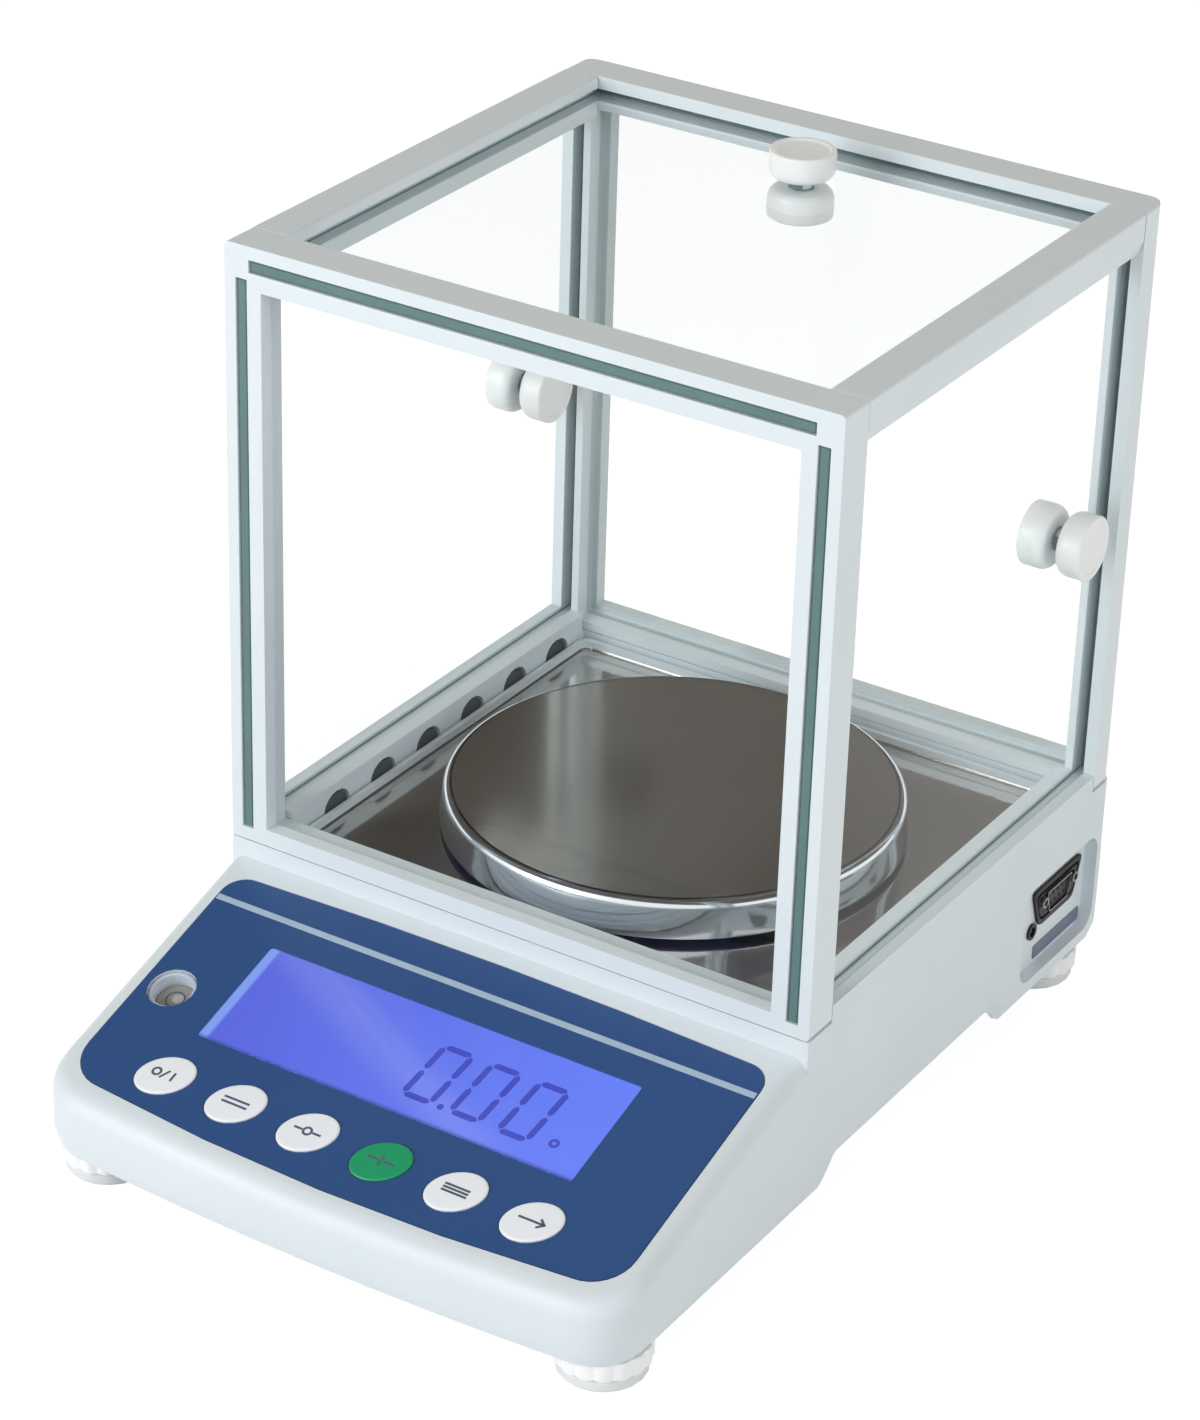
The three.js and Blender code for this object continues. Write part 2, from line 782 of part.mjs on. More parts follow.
function rebateBlock(y0, y1) {
  return block(
    [-rebateHalf, y0, windowBottomZ - shield.fixedPaneGroove],
    [rebateHalf, y1, windowTopZ + shield.fixedPaneGroove],
  );
}

function frontFrame() {
  return geometryOf(cut(solid(frameRing(shieldY, chamberFrontY)), [
    ...sidePaneSlots(shieldY - overrun, chamberFrontY + overrun),
    topPaneSlot(shieldY - overrun, chamberFrontY + overrun),
    rebateBlock(shieldY + shield.rebateLip, chamberFrontY + overrun),
  ]));
}

function backFrame() {
  const grooveBackY = chamberBackY + shield.rearGroove;
  const rounded = raised(backPlan(), 0, topZ + overrun, shield.backSteps);
  return geometryOf(cut(solid(frameRing(chamberBackY, shieldBackY)).intersect(solid(rounded)), [
    ...sidePaneSlots(chamberBackY - overrun, grooveBackY),
    topPaneSlot(chamberBackY - overrun, grooveBackY),
    rebateBlock(chamberBackY - overrun, shieldBackY - shield.rebateLip),
  ]));
}

// Plan of the back frame, with its two outer corners rounded
function backPlan() {
  const r = shield.backCorner;
  const shape = new THREE.Shape();
  shape.moveTo(-sideX, chamberBackY - overrun);
  shape.lineTo(sideX, chamberBackY - overrun);
  shape.absarc(sideX - r, shieldBackY - r, r, 0, Math.PI / 2);
  shape.absarc(-sideX + r, shieldBackY - r, r, Math.PI / 2, Math.PI);
  return shape;
}

// Top rails: one section, grooved for the side pane below and for the top pane inside
function railShape(sign) {
  const { railBevel, railBevelHeight, edge } = shield;
  const outline = [
    [windowHalf, windowTopZ],
    [doorX - slotHalf, windowTopZ],
    [doorX - slotHalf, doorTopZ],
    [doorX + slotHalf, doorTopZ],
    [doorX + slotHalf, windowTopZ],
    [sideX - railBevel, windowTopZ],
    [sideX, windowTopZ + railBevelHeight],
    [sideX, topZ - edge],
    [sideX - edge, topZ],
    [windowHalf + edge, topZ],
    [windowHalf, topZ - edge],
    [windowHalf, topPaneZ + slotHalf],
    [topPaneHalf, topPaneZ + slotHalf],
    [topPaneHalf, topPaneZ - slotHalf],
    [windowHalf, topPaneZ - slotHalf],
  ];
  return new THREE.Shape(outline.map(([x, z]) => new THREE.Vector2(sign * x, z)));
}

function topRail(sign) {
  return alongY(railShape(sign), chamberFrontY + touchGap, chamberBackY - touchGap, straight);
}

// Panes: the fixed ones sit in their rebates, the doors stand in their grooves with a running gap
function fixedPane(y0) {
  const half = rebateHalf - touchGap;
  const low = windowBottomZ - shield.fixedPaneGroove + touchGap;
  const high = windowTopZ + shield.fixedPaneGroove - touchGap;
  return block([-half, y0, low], [half, y0 + pane.thickness, high]);
}

const doorFrontY = shieldY + pane.frontInset;
const doorBackY = chamberBackY + shield.rearGroove - pane.backGap;

function sideDoor(x) {
  const half = pane.thickness / 2;
  const lowest = [x - half, doorFrontY, doorBottomZ + touchGap];
  const highest = [x + half, doorBackY, doorTopZ - slideGap];
  const hole = knobHole().rotateY(Math.PI / 2).translate(x, knobY, knobZ);
  return geometryOf(cut(solid(block(lowest, highest)), [hole]));
}

function topDoor() {
  const half = pane.thickness / 2;
  const wide = topPaneHalf - slideGap;
  const sheet = block([-wide, doorFrontY, topPaneZ - half], [wide, doorBackY, topPaneZ + half]);
  return geometryOf(cut(solid(sheet), [knobHole().translate(0, knobY, topPaneZ)]));
}

// Knobs: two discs on the faces of each door, drawn standing on the glass with their face up. The outer
// one has a stud that passes through the glass into the inner one.
const knob = {
  radius: 9.5,
  height: 8,
  backGap: 29.5,
  lift: 3,
  footRadius: 8.3,
  edge: 1.2,
  dish: 0.5,
  dishRadius: 7.3,
  studRadius: 3,
  studGrip: 5,
  steps: 24,
  studSteps: 10,
};

const knobY = doorBackY - knob.backGap;
const knobZ = (windowBottomZ + windowTopZ) / 2 + knob.lift;

function knobHole() {
  return rod(knob.studRadius + touchGap, -overrun, overrun, knob.studSteps);
}

function knobDisc() {
  const { radius, height, edge, dish, dishRadius, footRadius } = knob;
  return turned([
    [0, 0], [footRadius, 0], [radius, edge], [radius, height - edge], [radius - edge, height],
    [dishRadius, height], [dishRadius - dish, height - dish], [0, height - dish],
  ], knob.steps);
}

const studReach = pane.thickness + 2 * touchGap + knob.studGrip;

function outerKnob() {
  const stud = rod(knob.studRadius, -studReach, knob.edge, knob.studSteps);
  return geometryOf(joined([knobDisc(), stud]));
}

function innerKnob() {
  const socketDepth = knob.studGrip + touchGap;
  const socket = rod(knob.studRadius + touchGap, -overrun, socketDepth, knob.studSteps);
  return geometryOf(cut(solid(knobDisc()), [socket]));
}

const knobLift = pane.thickness / 2 + touchGap;

// Stands a knob on the face of its door that looks the given way
function placeKnob(name, geometry, direction, x, z) {
  const mesh = place(name, geometry.translate(0, 0, knobLift), 'knob');
  mesh.quaternion.setFromUnitVectors(new THREE.Vector3(0, 0, 1), new THREE.Vector3(...direction));
  mesh.position.set(x, knobY, z);
}

// Pan: a pressed sheet with a rolled edge, lying on the carrier
function weighingPan() {
  const { radius, sheet, skirt, roll } = pan;
  const rollArc = (inner) => Array.from({ length: pan.rollSteps + 1 }, (_, i) => {
    const angle = Math.PI / 2 * (1 - i / pan.rollSteps);
    const r = roll - inner;
    return [radius - roll + r * Math.cos(angle), panTopZ - roll + r * Math.sin(angle)];
  });
  return turned([
    [0, panTopZ - sheet],
    ...rollArc(sheet),
    [radius - sheet, panTopZ - skirt],
    [radius, panTopZ - skirt],
    ...rollArc(0).reverse(),
    [0, panTopZ],
  ], pan.steps).translate(0, panY, 0);
}

// Load cell: a bar hollowed by two joined bores, held at its left end, with the carrier on its right end
const cell = {
  length: 80,
  width: 20,
  height: 20,
  spacer: 5,
  spacerLength: 24,
  bore: 6.4,
  boreSpacing: 22,
  web: 6,
  steps: 8,
};
const cellBottomZ = coverTopZ + cell.spacer + 2 * touchGap;
const cellTopZ = cellBottomZ + cell.height;
const cellRightX = carrier.plateRadius / 2;
const cellLeftX = cellRightX - cell.length;
const cellMiddleX = (cellLeftX + cellRightX) / 2;

function loadCell() {
  const { bore, boreSpacing, web, height, steps } = cell;
  const middleZ = cellBottomZ + height / 2;
  const shape = new THREE.Shape();
  shape.moveTo(cellLeftX, cellBottomZ);
  shape.lineTo(cellRightX, cellBottomZ);
  shape.lineTo(cellRightX, cellTopZ);
  shape.lineTo(cellLeftX, cellTopZ);
  const neck = Math.asin(web / 2 / bore);
  const hole = new THREE.Path();
  hole.absarc(cellMiddleX + boreSpacing / 2, middleZ, bore, Math.PI - neck, -Math.PI + neck, true);
  hole.absarc(cellMiddleX - boreSpacing / 2, middleZ, bore, -neck, neck - 2 * Math.PI, true);
  shape.holes.push(hole);
  return alongY(shape, panY - cell.width / 2, panY + cell.width / 2, steps);
}

function cellSpacer() {
  const y0 = panY - cell.width / 2;
  return block(
    [cellLeftX, y0, coverTopZ + touchGap],
    [cellLeftX + cell.spacerLength, y0 + cell.width, coverTopZ + touchGap + cell.spacer],
  );
}

// Overload stop: a screw under the free end that takes the load when the bar is pushed too far
const stop = { radius: 3, headRadius: 5, headHeight: 2, steps: 12 };

function overloadStop() {
  const low = coverTopZ + touchGap;
  const high = cellBottomZ - touchGap;
  return turned([
    [0, low], [stop.headRadius, low], [stop.headRadius, low + stop.headHeight],
    [stop.radius, low + stop.headHeight], [stop.radius, high], [0, high],
  ], stop.steps).translate(0, panY, 0);
}

function panCarrier() {
  const plateTopZ = panTopZ - pan.sheet - touchGap;
  const plateBottomZ = plateTopZ - carrier.plateThickness;
  return turned([
    [0, cellTopZ + touchGap],
    [carrier.postRadius, cellTopZ + touchGap],
    [carrier.postRadius, plateBottomZ - carrier.postRadius / 2],
    [carrier.postRadius * 2, plateBottomZ],
    [carrier.plateRadius, plateBottomZ],
    [carrier.plateRadius, plateTopZ],
    [0, plateTopZ],
  ], carrier.steps).translate(0, panY, 0);
}

// Spill tray: a plate on the deck with a turned-up rim and a collar round the carrier's post
function spillTray() {
  const bottomZ = deckHeight + touchGap;
  const halfWide = windowHalf - tray.edgeGap;
  const y0 = chamberFrontY + tray.edgeGap;
  const y1 = chamberBackY - tray.edgeGap;
  const middleY = (y0 + y1) / 2;
  const outer = roundedRect(2 * halfWide, y1 - y0, tray.corner);
  const inner = roundedRect(2 * (halfWide - tray.sheet), y1 - y0 - 2 * tray.sheet, tray.corner - tray.sheet);
  const rimmed = raised(outer, bottomZ, bottomZ + tray.sheet + tray.rim, smallArc);
  const dish = solid(rimmed.translate(0, middleY, 0));
  const floorZ = bottomZ + tray.sheet;
  const body = cut(dish, [raised(inner, floorZ, floorZ + overrun, smallArc).translate(0, middleY, 0)]);
  const collarTopZ = floorZ + tray.collar;
  const collar = rod(carrier.holeRadius, bottomZ, collarTopZ, carrier.steps).translate(0, panY, 0);
  const bore = rod(carrier.holeRadius - tray.sheet, bottomZ - overrun, collarTopZ + overrun, carrier.steps);
  return geometryOf(cut(body.add(solid(collar)), [bore.translate(0, panY, 0)]));
}

// Console pieces, drawn on the console frame
function keypadOverlay() {
  const shape = overlayShape(0);
  const addHole = (hole, steps, x, y) => {
    const points = hole.getPoints(steps).map((point) => new THREE.Vector2(point.x + x, point.y + y));
    shape.holes.push(new THREE.Path(points));
  };
  addHole(displayHole(0), smallArc, displayX, displayY);
  addHole(ellipse(level.radius, level.radius), level.steps, levelX, levelY);
  for (let i = 0; i < keys.count; i++) {
    addHole(ellipse(keys.halfWidth + slideGap, keys.halfHeight + slideGap), keys.steps, keyX(i), keyY);
  }
  const low = overlay.proud - overlay.thickness;
  return onConsole(raised(shape, low, overlay.proud, overlay.steps));
}

function displayWindow() {
  const low = overlay.proud - overlay.thickness;
  return onConsole(raised(displayHole(-touchGap), low, overlay.proud, smallArc), displayX, displayY);
}

// A key: an oval cap with a crowned top, a flange that holds it under the roof and a stem to its switch
function keyCap() {
  const { halfWidth, halfHeight, flange, crown, edge, steps } = keys;
  const wallTop = overlay.proud + crown - edge;
  return joined([
    raised(ellipse(halfWidth, halfHeight), flangeBottom, wallTop, steps),
    crownedTop(halfWidth, halfHeight, wallTop - edge, wallTop + edge),
    raised(ellipse(halfWidth + flange, halfHeight + flange), flangeBottom, roofUnderside, steps),
    rod(keys.stemRadius, stemBottom, flangeBottom + edge, steps),
  ]);
}

// Oval slab whose top edge is bevelled
function crownedTop(halfWidth, halfHeight, z0, z1) {
  const bevel = keys.edge;
  const options = {
    depth: z1 - z0 - bevel, bevelThickness: bevel, bevelSize: bevel, bevelOffset: -bevel, bevelSegments: 1,
    curveSegments: keys.steps,
  };
  return new THREE.ExtrudeGeometry(ellipse(halfWidth, halfHeight), options).translate(0, 0, z0);
}

function keyAt(i) {
  return onConsole(geometryOf(keyCap()), keyX(i), keyY);
}

// Level: a cup hung under the roof with a clear lens over it
function levelCup() {
  const outer = level.radius - touchGap;
  const inner = outer - level.cupWall;
  const brim = overlay.proud - level.lensThickness - touchGap;
  const floor = brim - level.cupDepth;
  return onConsole(turned([
    [0, floor], [outer, floor], [outer, roofUnderside - level.cupWall],
    [outer + level.flange, roofUnderside - level.cupWall], [outer + level.flange, roofUnderside],
    [outer, roofUnderside], [outer, brim], [inner, brim],
    [inner, floor + level.cupWall], [0, floor + level.cupWall],
  ], level.steps * 2), levelX, levelY);
}

function levelLens() {
  const radius = level.radius - touchGap;
  const lens = rod(radius, overlay.proud - level.lensThickness, overlay.proud, level.steps * 2);
  return onConsole(lens, levelX, levelY);
}

// Display board: the circuit board behind the console, with a switch under each key
function displayBoard() {
  const half = Math.max(-keyX(0), keyX(keys.count - 1)) + board.margin + board.switchSize / 2;
  const high = displayY + display.height / 2 + display.moduleMargin + touchGap + board.postSize;
  const post = board.postSize;
  const pieces = [block([-half, boardLowY, boardTop - board.sheet], [half, high, boardTop])];
  const s = board.switchSize / 2;
  const seat = boardTop - board.sheet / 2;
  for (let i = 0; i < keys.count; i++) {
    const x = keyX(i);
    pieces.push(block([x - s, keyY - s, seat], [x + s, keyY + s, plungerTop - board.plungerHeight]));
    pieces.push(rod(board.plungerRadius, boardTop, plungerTop, board.steps).translate(x, keyY, 0));
  }
  for (const x of [-half, half - post]) {
    pieces.push(block([x, high - post, seat], [x + post, high, roofUnderside]));
  }
  return onConsole(geometryOf(joined(pieces)));
}

function lcdModule() {
  const halfWide = display.width / 2 + display.moduleMargin;
  const halfHigh = display.height / 2 + display.moduleMargin;
  const body = block([-halfWide, -halfHigh, boardTop + touchGap], [halfWide, halfHigh, roofUnderside]);
  return onConsole(body, displayX, displayY);
}

// Main board on its own stand-offs, behind the load cell
const mainBoard = {
  left: -46,
  right: 66,
  frontGap: 16,
  depth: 48,
  standoff: 4,
  standoffRadius: 3,
  chipSize: 14,
  chipHeight: 2.5,
  headerLength: 22,
  headerWidth: 5,
  headerHeight: 6,
  steps: 8,
};
const mainBoardY = panY + cell.width / 2 + mainBoard.frontGap;
const mainBoardBottomZ = coverTopZ + touchGap + mainBoard.standoff;
const mainBoardTopZ = mainBoardBottomZ + board.sheet;

function mainBoardBody() {
  const { left, right, depth, standoffRadius: r, chipSize, chipHeight } = mainBoard;
  const { headerLength, headerWidth, headerHeight } = mainBoard;
  const y0 = mainBoardY;
  const y1 = y0 + depth;
  const middleX = (left + right) / 2;
  const middleY = (y0 + y1) / 2;
  const seatZ = mainBoardTopZ - board.sheet / 2;
  const chipTopZ = mainBoardTopZ + chipHeight;
  const standoff = rod(r, coverTopZ + touchGap, seatZ, mainBoard.steps);
  const standoffs = [left + 2 * r, right - 2 * r].flatMap((x) =>
    [y0 + 2 * r, y1 - 2 * r].map((y) => standoff.clone().translate(x, y, 0)));
  return geometryOf(joined([
    block([left, y0, mainBoardBottomZ], [right, y1, mainBoardTopZ]),
    ...standoffs,
    block([middleX, middleY, seatZ], [middleX + chipSize, middleY + chipSize, chipTopZ]),
    block(
      [left + headerWidth, y0 + headerWidth, seatZ],
      [left + headerWidth + headerLength, y0 + 2 * headerWidth, mainBoardTopZ + headerHeight],
    ),
  ]));
}

// Sockets: each has a lip in the pocket and a body behind the wall
const socketX = pocketX + touchGap;

function serialPort() {
  const { lip, pins, pinPitch, pinRow } = serial;
  const backX = pocketX - housing.wall - serial.body;
  const shell = joined([
    alongX(serialShape(lip), socketX, socketX + lip, smallArc),
    alongX(serialShape(0), backX, socketX + lip / 2, smallArc),
  ]);
  const face = alongX(serialShape(-lip), socketX, socketX + lip + overrun, smallArc);
  const tongue = alongX(serialShape(-2 * lip), backX + lip, socketX + lip, smallArc);
  const upperCount = Math.ceil(pins / 2);
  const sockets = Array.from({ length: pins }, (_, i) => {
    const upper = i < upperCount;
    const inRow = upper ? upperCount : pins - upperCount;
    const y = ((upper ? i : i - upperCount) - (inRow - 1) / 2) * pinPitch;
    const z = (upper ? 1 : -1) * pinRow / 2;
    const bore = rod(serial.pinRadius, socketX - serial.pinDepth, socketX + overrun, serial.pinSteps);
    return bore.rotateY(Math.PI / 2).translate(0, y, z);
  });
  const body = cut(shell.subtract(solid(face)).add(solid(tongue)), sockets);
  return geometryOf(body).translate(0, serialY, serialZ);
}

function powerJack() {
  const { radius, bore, pin, lip } = jack;
  const backX = pocketX - housing.wall - jack.body;
  const profile = [
    [0, backX], [radius, backX], [radius, socketX], [radius + lip, socketX], [radius + lip, socketX + lip],
    [bore, socketX + lip], [bore, backX + lip], [pin, backX + lip], [pin, socketX], [0, socketX],
  ];
  return turned(profile, jack.steps).rotateY(Math.PI / 2).translate(0, jackY, jackZ);
}

// Small upright board that the two sockets are soldered to
const socketBoard = {
  margin: 3,
  height: 20,
};

function socketBoardBody() {
  const x1 = pocketX - housing.wall - serial.body - touchGap;
  const bottomZ = skirtHeight + foot.studTop + touchGap;
  const y0 = serialY - serial.width / 2 - socketBoard.margin;
  const y1 = serialY + serial.width / 2 + socketBoard.margin;
  return block([x1 - board.sheet, y0, bottomZ], [x1, y1, bottomZ + socketBoard.height]);
}

place('top_housing', topHousing(), 'casing');
place('base_housing', baseHousing(), 'underside');
for (const { side, x, y } of feet) {
  place(`foot_wheel_${side}`, footWheel(), 'knob').position.set(x, y, 0);
  place(`foot_pad_${side}`, footPad(), 'rubber').position.set(x, y, 0);
}

place('front_frame', frontFrame(), 'casing');
place('back_frame', backFrame(), 'casing');
place('top_rail_left', topRail(-1), 'casing');
place('top_rail_right', topRail(1), 'casing');
place('front_glass', fixedPane(shieldY + shield.rebateLip + touchGap), 'glass');
place('back_glass', fixedPane(shieldBackY - shield.rebateLip - touchGap - pane.thickness), 'glass');

place('left_door_glass', sideDoor(-doorX), 'glass');
place('right_door_glass', sideDoor(doorX), 'glass');
place('top_door_glass', topDoor(), 'glass');
placeKnob('left_knob_outer', outerKnob(), [-1, 0, 0], -doorX, knobZ);
placeKnob('left_knob_inner', innerKnob(), [1, 0, 0], -doorX, knobZ);
placeKnob('right_knob_outer', outerKnob(), [1, 0, 0], doorX, knobZ);
placeKnob('right_knob_inner', innerKnob(), [-1, 0, 0], doorX, knobZ);
placeKnob('top_knob_outer', outerKnob(), [0, 0, 1], 0, topPaneZ);
placeKnob('top_knob_inner', innerKnob(), [0, 0, -1], 0, topPaneZ);

place('weighing_pan', weighingPan(), 'steel');
place('pan_carrier', panCarrier(), 'aluminium');
place('spill_tray', spillTray(), 'steel');
place('load_cell', loadCell(), 'aluminium');
place('load_cell_spacer', cellSpacer(), 'aluminium');
place('overload_stop', overloadStop(), 'aluminium');

place('keypad_overlay', keypadOverlay(), 'overlay');
place('display_window', displayWindow(), 'lens');
place('lcd_module', lcdModule(), 'display');
place('display_board', displayBoard(), 'board');
for (let i = 0; i < keys.count; i++) {
  place(`key_${i + 1}`, keyAt(i), i === keys.tare ? 'tareKey' : 'key');
}
place('level_cup', levelCup(), 'aluminium');
place('level_lens', levelLens(), 'lens');
place('main_board', mainBoardBody(), 'board');
place('serial_port', serialPort(), 'black');
place('power_jack', powerJack(), 'black');
place('socket_board', socketBoardBody(), 'board');

export default scale;
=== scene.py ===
import json
import math

import bmesh
import bpy
from mathutils import Matrix, Vector

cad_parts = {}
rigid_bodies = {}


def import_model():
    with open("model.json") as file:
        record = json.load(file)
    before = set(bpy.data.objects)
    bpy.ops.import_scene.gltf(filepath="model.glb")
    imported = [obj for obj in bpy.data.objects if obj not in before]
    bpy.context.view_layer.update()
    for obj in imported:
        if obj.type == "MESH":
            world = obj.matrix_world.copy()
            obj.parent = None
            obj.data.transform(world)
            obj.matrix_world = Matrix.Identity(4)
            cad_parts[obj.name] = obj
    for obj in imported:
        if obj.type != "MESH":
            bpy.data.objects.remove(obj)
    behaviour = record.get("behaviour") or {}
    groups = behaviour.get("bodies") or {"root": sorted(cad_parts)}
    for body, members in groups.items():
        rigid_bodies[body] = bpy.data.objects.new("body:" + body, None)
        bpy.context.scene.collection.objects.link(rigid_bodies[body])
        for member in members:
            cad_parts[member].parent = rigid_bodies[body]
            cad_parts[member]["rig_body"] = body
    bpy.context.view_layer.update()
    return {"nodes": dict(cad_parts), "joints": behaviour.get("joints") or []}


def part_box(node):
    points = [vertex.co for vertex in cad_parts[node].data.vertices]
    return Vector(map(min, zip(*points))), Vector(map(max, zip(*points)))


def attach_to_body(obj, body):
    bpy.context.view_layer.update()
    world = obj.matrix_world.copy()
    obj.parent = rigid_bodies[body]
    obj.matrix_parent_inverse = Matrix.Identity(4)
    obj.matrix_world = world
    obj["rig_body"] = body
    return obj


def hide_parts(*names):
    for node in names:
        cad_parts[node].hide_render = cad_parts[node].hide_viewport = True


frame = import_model()
nodes = frame["nodes"]

mm = 0.001
degree = math.pi / 180
touchGap = 0.3 * mm  # pieces that touch keep this much room, as they do in the frame
mergeReach = 0.004 * mm  # corners of a CAD mesh's loose triangles that lie this close are one
straightUp = Matrix.Identity(4)

axisOfJoint = {joint["name"]: Vector(joint["axis"]) for joint in frame["joints"]}


# Sizes in metres, from a piece's dictionary in millimetres
def metres(sizes, *keys):
    return [sizes[key] * mm for key in keys]


def placed(name, data):
    made = bpy.data.objects.new(name, data)
    bpy.context.scene.collection.objects.link(made)
    return made


# Colours are written as sRGB hex and turned to linear here
def linear(hexColour):
    channels = [int(hexColour[i:i + 2], 16) / 255 for i in (1, 3, 5)]
    return [c / 12.92 if c <= 0.04045 else ((c + 0.055) / 1.055) ** 2.4 for c in channels] + [1.0]


# Noise of a grain this many millimetres wide has this scale on Object coordinates
def perGrain(size):
    return 1 / (size * mm)


# An input takes a value, or a link from a socket or from a node's first output in use
def feed(node, inputs):
    for key, value in inputs.items():
        if isinstance(value, bpy.types.Node):
            value = next(output for output in value.outputs if output.enabled)
        if isinstance(value, bpy.types.NodeSocket):
            node.id_data.links.new(value, node.inputs[key])
        else:
            node.inputs[key].default_value = value


def addNode(tree, kind, inputs=None, **settings):
    node = tree.nodes.new(kind)
    for key, value in settings.items():
        setattr(node, key, value)
    feed(node, inputs or {})
    return node


# A new material with its Principled shader, whose own sockets take the inputs
def newMaterial(name, inputs):
    material = bpy.data.materials.new(name)
    material.use_nodes = True
    shader = material.node_tree.nodes["Principled BSDF"]
    feed(shader, inputs)
    return material, material.node_tree, shader


# Fine relief and a slight unevenness of colour and gloss. A look has the widths of its grain and its cloud in
# millimetres, its relief with a depth in millimetres, and smooth and rough as the least and most roughness.
def addGrain(tree, shader, look):
    place = addNode(tree, "ShaderNodeTexCoord").outputs["Object"]
    cloud = addNode(tree, "ShaderNodeTexNoise",
                    {"Vector": place, "Scale": perGrain(look["cloud"]), "Detail": 2})
    if "relief" in look:
        noise = addNode(tree, "ShaderNodeTexNoise",
                        {"Vector": place, "Scale": perGrain(look["grain"]), "Detail": 3})
        feed(shader, {"Normal": addNode(tree, "ShaderNodeBump", {
            "Height": noise, "Strength": look["relief"], "Distance": look["depth"] * mm,
        })})
    shade = addNode(tree, "ShaderNodeMix", {
        "Factor": cloud, "A": linear(look["colour"]), "B": linear(look["shade"]),
    }, data_type="RGBA")
    gloss = addNode(tree, "ShaderNodeMapRange",
                    {"Value": cloud, "To Min": look["smooth"], "To Max": look["rough"]})
    feed(shader, {"Base Color": shade, "Roughness": gloss})


def grainedFinish(name, look):
    material, tree, shader = newMaterial(name, look["shader"])
    addGrain(tree, shader, look)
    return material


# Belt-brushed stainless steel on top of the pan: lines too fine to show one by one, which blur reflections
brushedLook = {
    "colour": "#CCC7BF", "shade": "#C3BDB5", "cloud": 30, "smooth": 0.12, "rough": 0.18, "spread": 0.34,
    "spreadShare": 0.36,
}

# Bright-rolled stainless steel of the tray: nearly a mirror, a little soft
brightLook = {
    "colour": "#D4D2CF", "shade": "#CBC8C4", "cloud": 26, "smooth": 0.05, "rough": 0.1, "spread": 0.3,
    "spreadShare": 0.3,
}

# Polished stainless steel of the turned-down edge and skirt of the pan: it draws the room into bright bands
polishedLook = {
    "colour": "#F0F3F7", "shade": "#E8ECF1", "cloud": 26, "smooth": 0.04, "rough": 0.08, "spread": 0.3,
    "spreadShare": 0.28,
}


# Rolled steel mirrors sharply, and its finest scratches spread a share of the light more widely
def stainlessSteel(name, look):
    material, tree, shader = newMaterial(name, {"Metallic": 1})
    addGrain(tree, shader, look)
    wide = addNode(tree, "ShaderNodeBsdfPrincipled", {
        "Base Color": shader.inputs["Base Color"].links[0].from_socket, "Metallic": 1,
        "Roughness": look["spread"],
    })
    blend = addNode(tree, "ShaderNodeMixShader", {"Fac": look["spreadShare"], 1: shader, 2: wide})
    feed(tree.nodes["Material Output"], {"Surface": blend})
    return material


# Screen ink, a thin flat layer with a dry edge. Its shade is a share of its colour.
inkLook = {
    "shade": 0.9, "grain": 0.7, "cloud": 9, "relief": 0.1, "depth": 0.02, "smooth": 0.45, "rough": 0.6,
    "shader": {"IOR": 1.5},
}

# Silicone-coated key caps: soft satin under a thin clear coat. Their shade is a share of their colour too.
keyLook = {
    "shade": 0.985, "grain": 0.8, "cloud": 7, "relief": 0.06, "depth": 0.03, "smooth": 0.3, "rough": 0.42,
    "shader": {"IOR": 1.47, "Coat Weight": 0.15, "Coat Roughness": 0.3},
}


def darker(hexColour, share):
    return "#" + "".join(f"{round(int(hexColour[i:i + 2], 16) * share):02X}" for i in (1, 3, 5))


def tinted(look, colour):
    return {**look, "colour": colour, "shade": darker(colour, look["shade"])}


# Frosted acrylic of the knobs: light goes a few millimetres in, so the discs look milky and pale
acrylicLook = {
    "colour": "#F3F7F8", "shade": "#EAF0F2", "grain": 0.8, "cloud": 10, "relief": 0.08, "depth": 0.03,
    "smooth": 0.28, "rough": 0.38, "shader": {
        "IOR": 1.49, "Subsurface Weight": 0.45, "Subsurface Radius": (1, 1, 1), "Subsurface Scale": 2.5 * mm,
    },
}


# Clear glazing, thin enough to show what is behind it where it is. Light goes through, and Fresnel's share
# of it is mirrored at the outer faces. Wiped glass keeps a faint smear that dulls the mirror here and there.
glassLook = {"tint": "#FEFFFF", "ior": 1.3, "smear": 70, "clean": 0.005, "smeared": 0.05}
windowLook = {"tint": "#FDFDFF", "ior": 1.35, "smear": 20, "clean": 0.02, "smeared": 0.08}


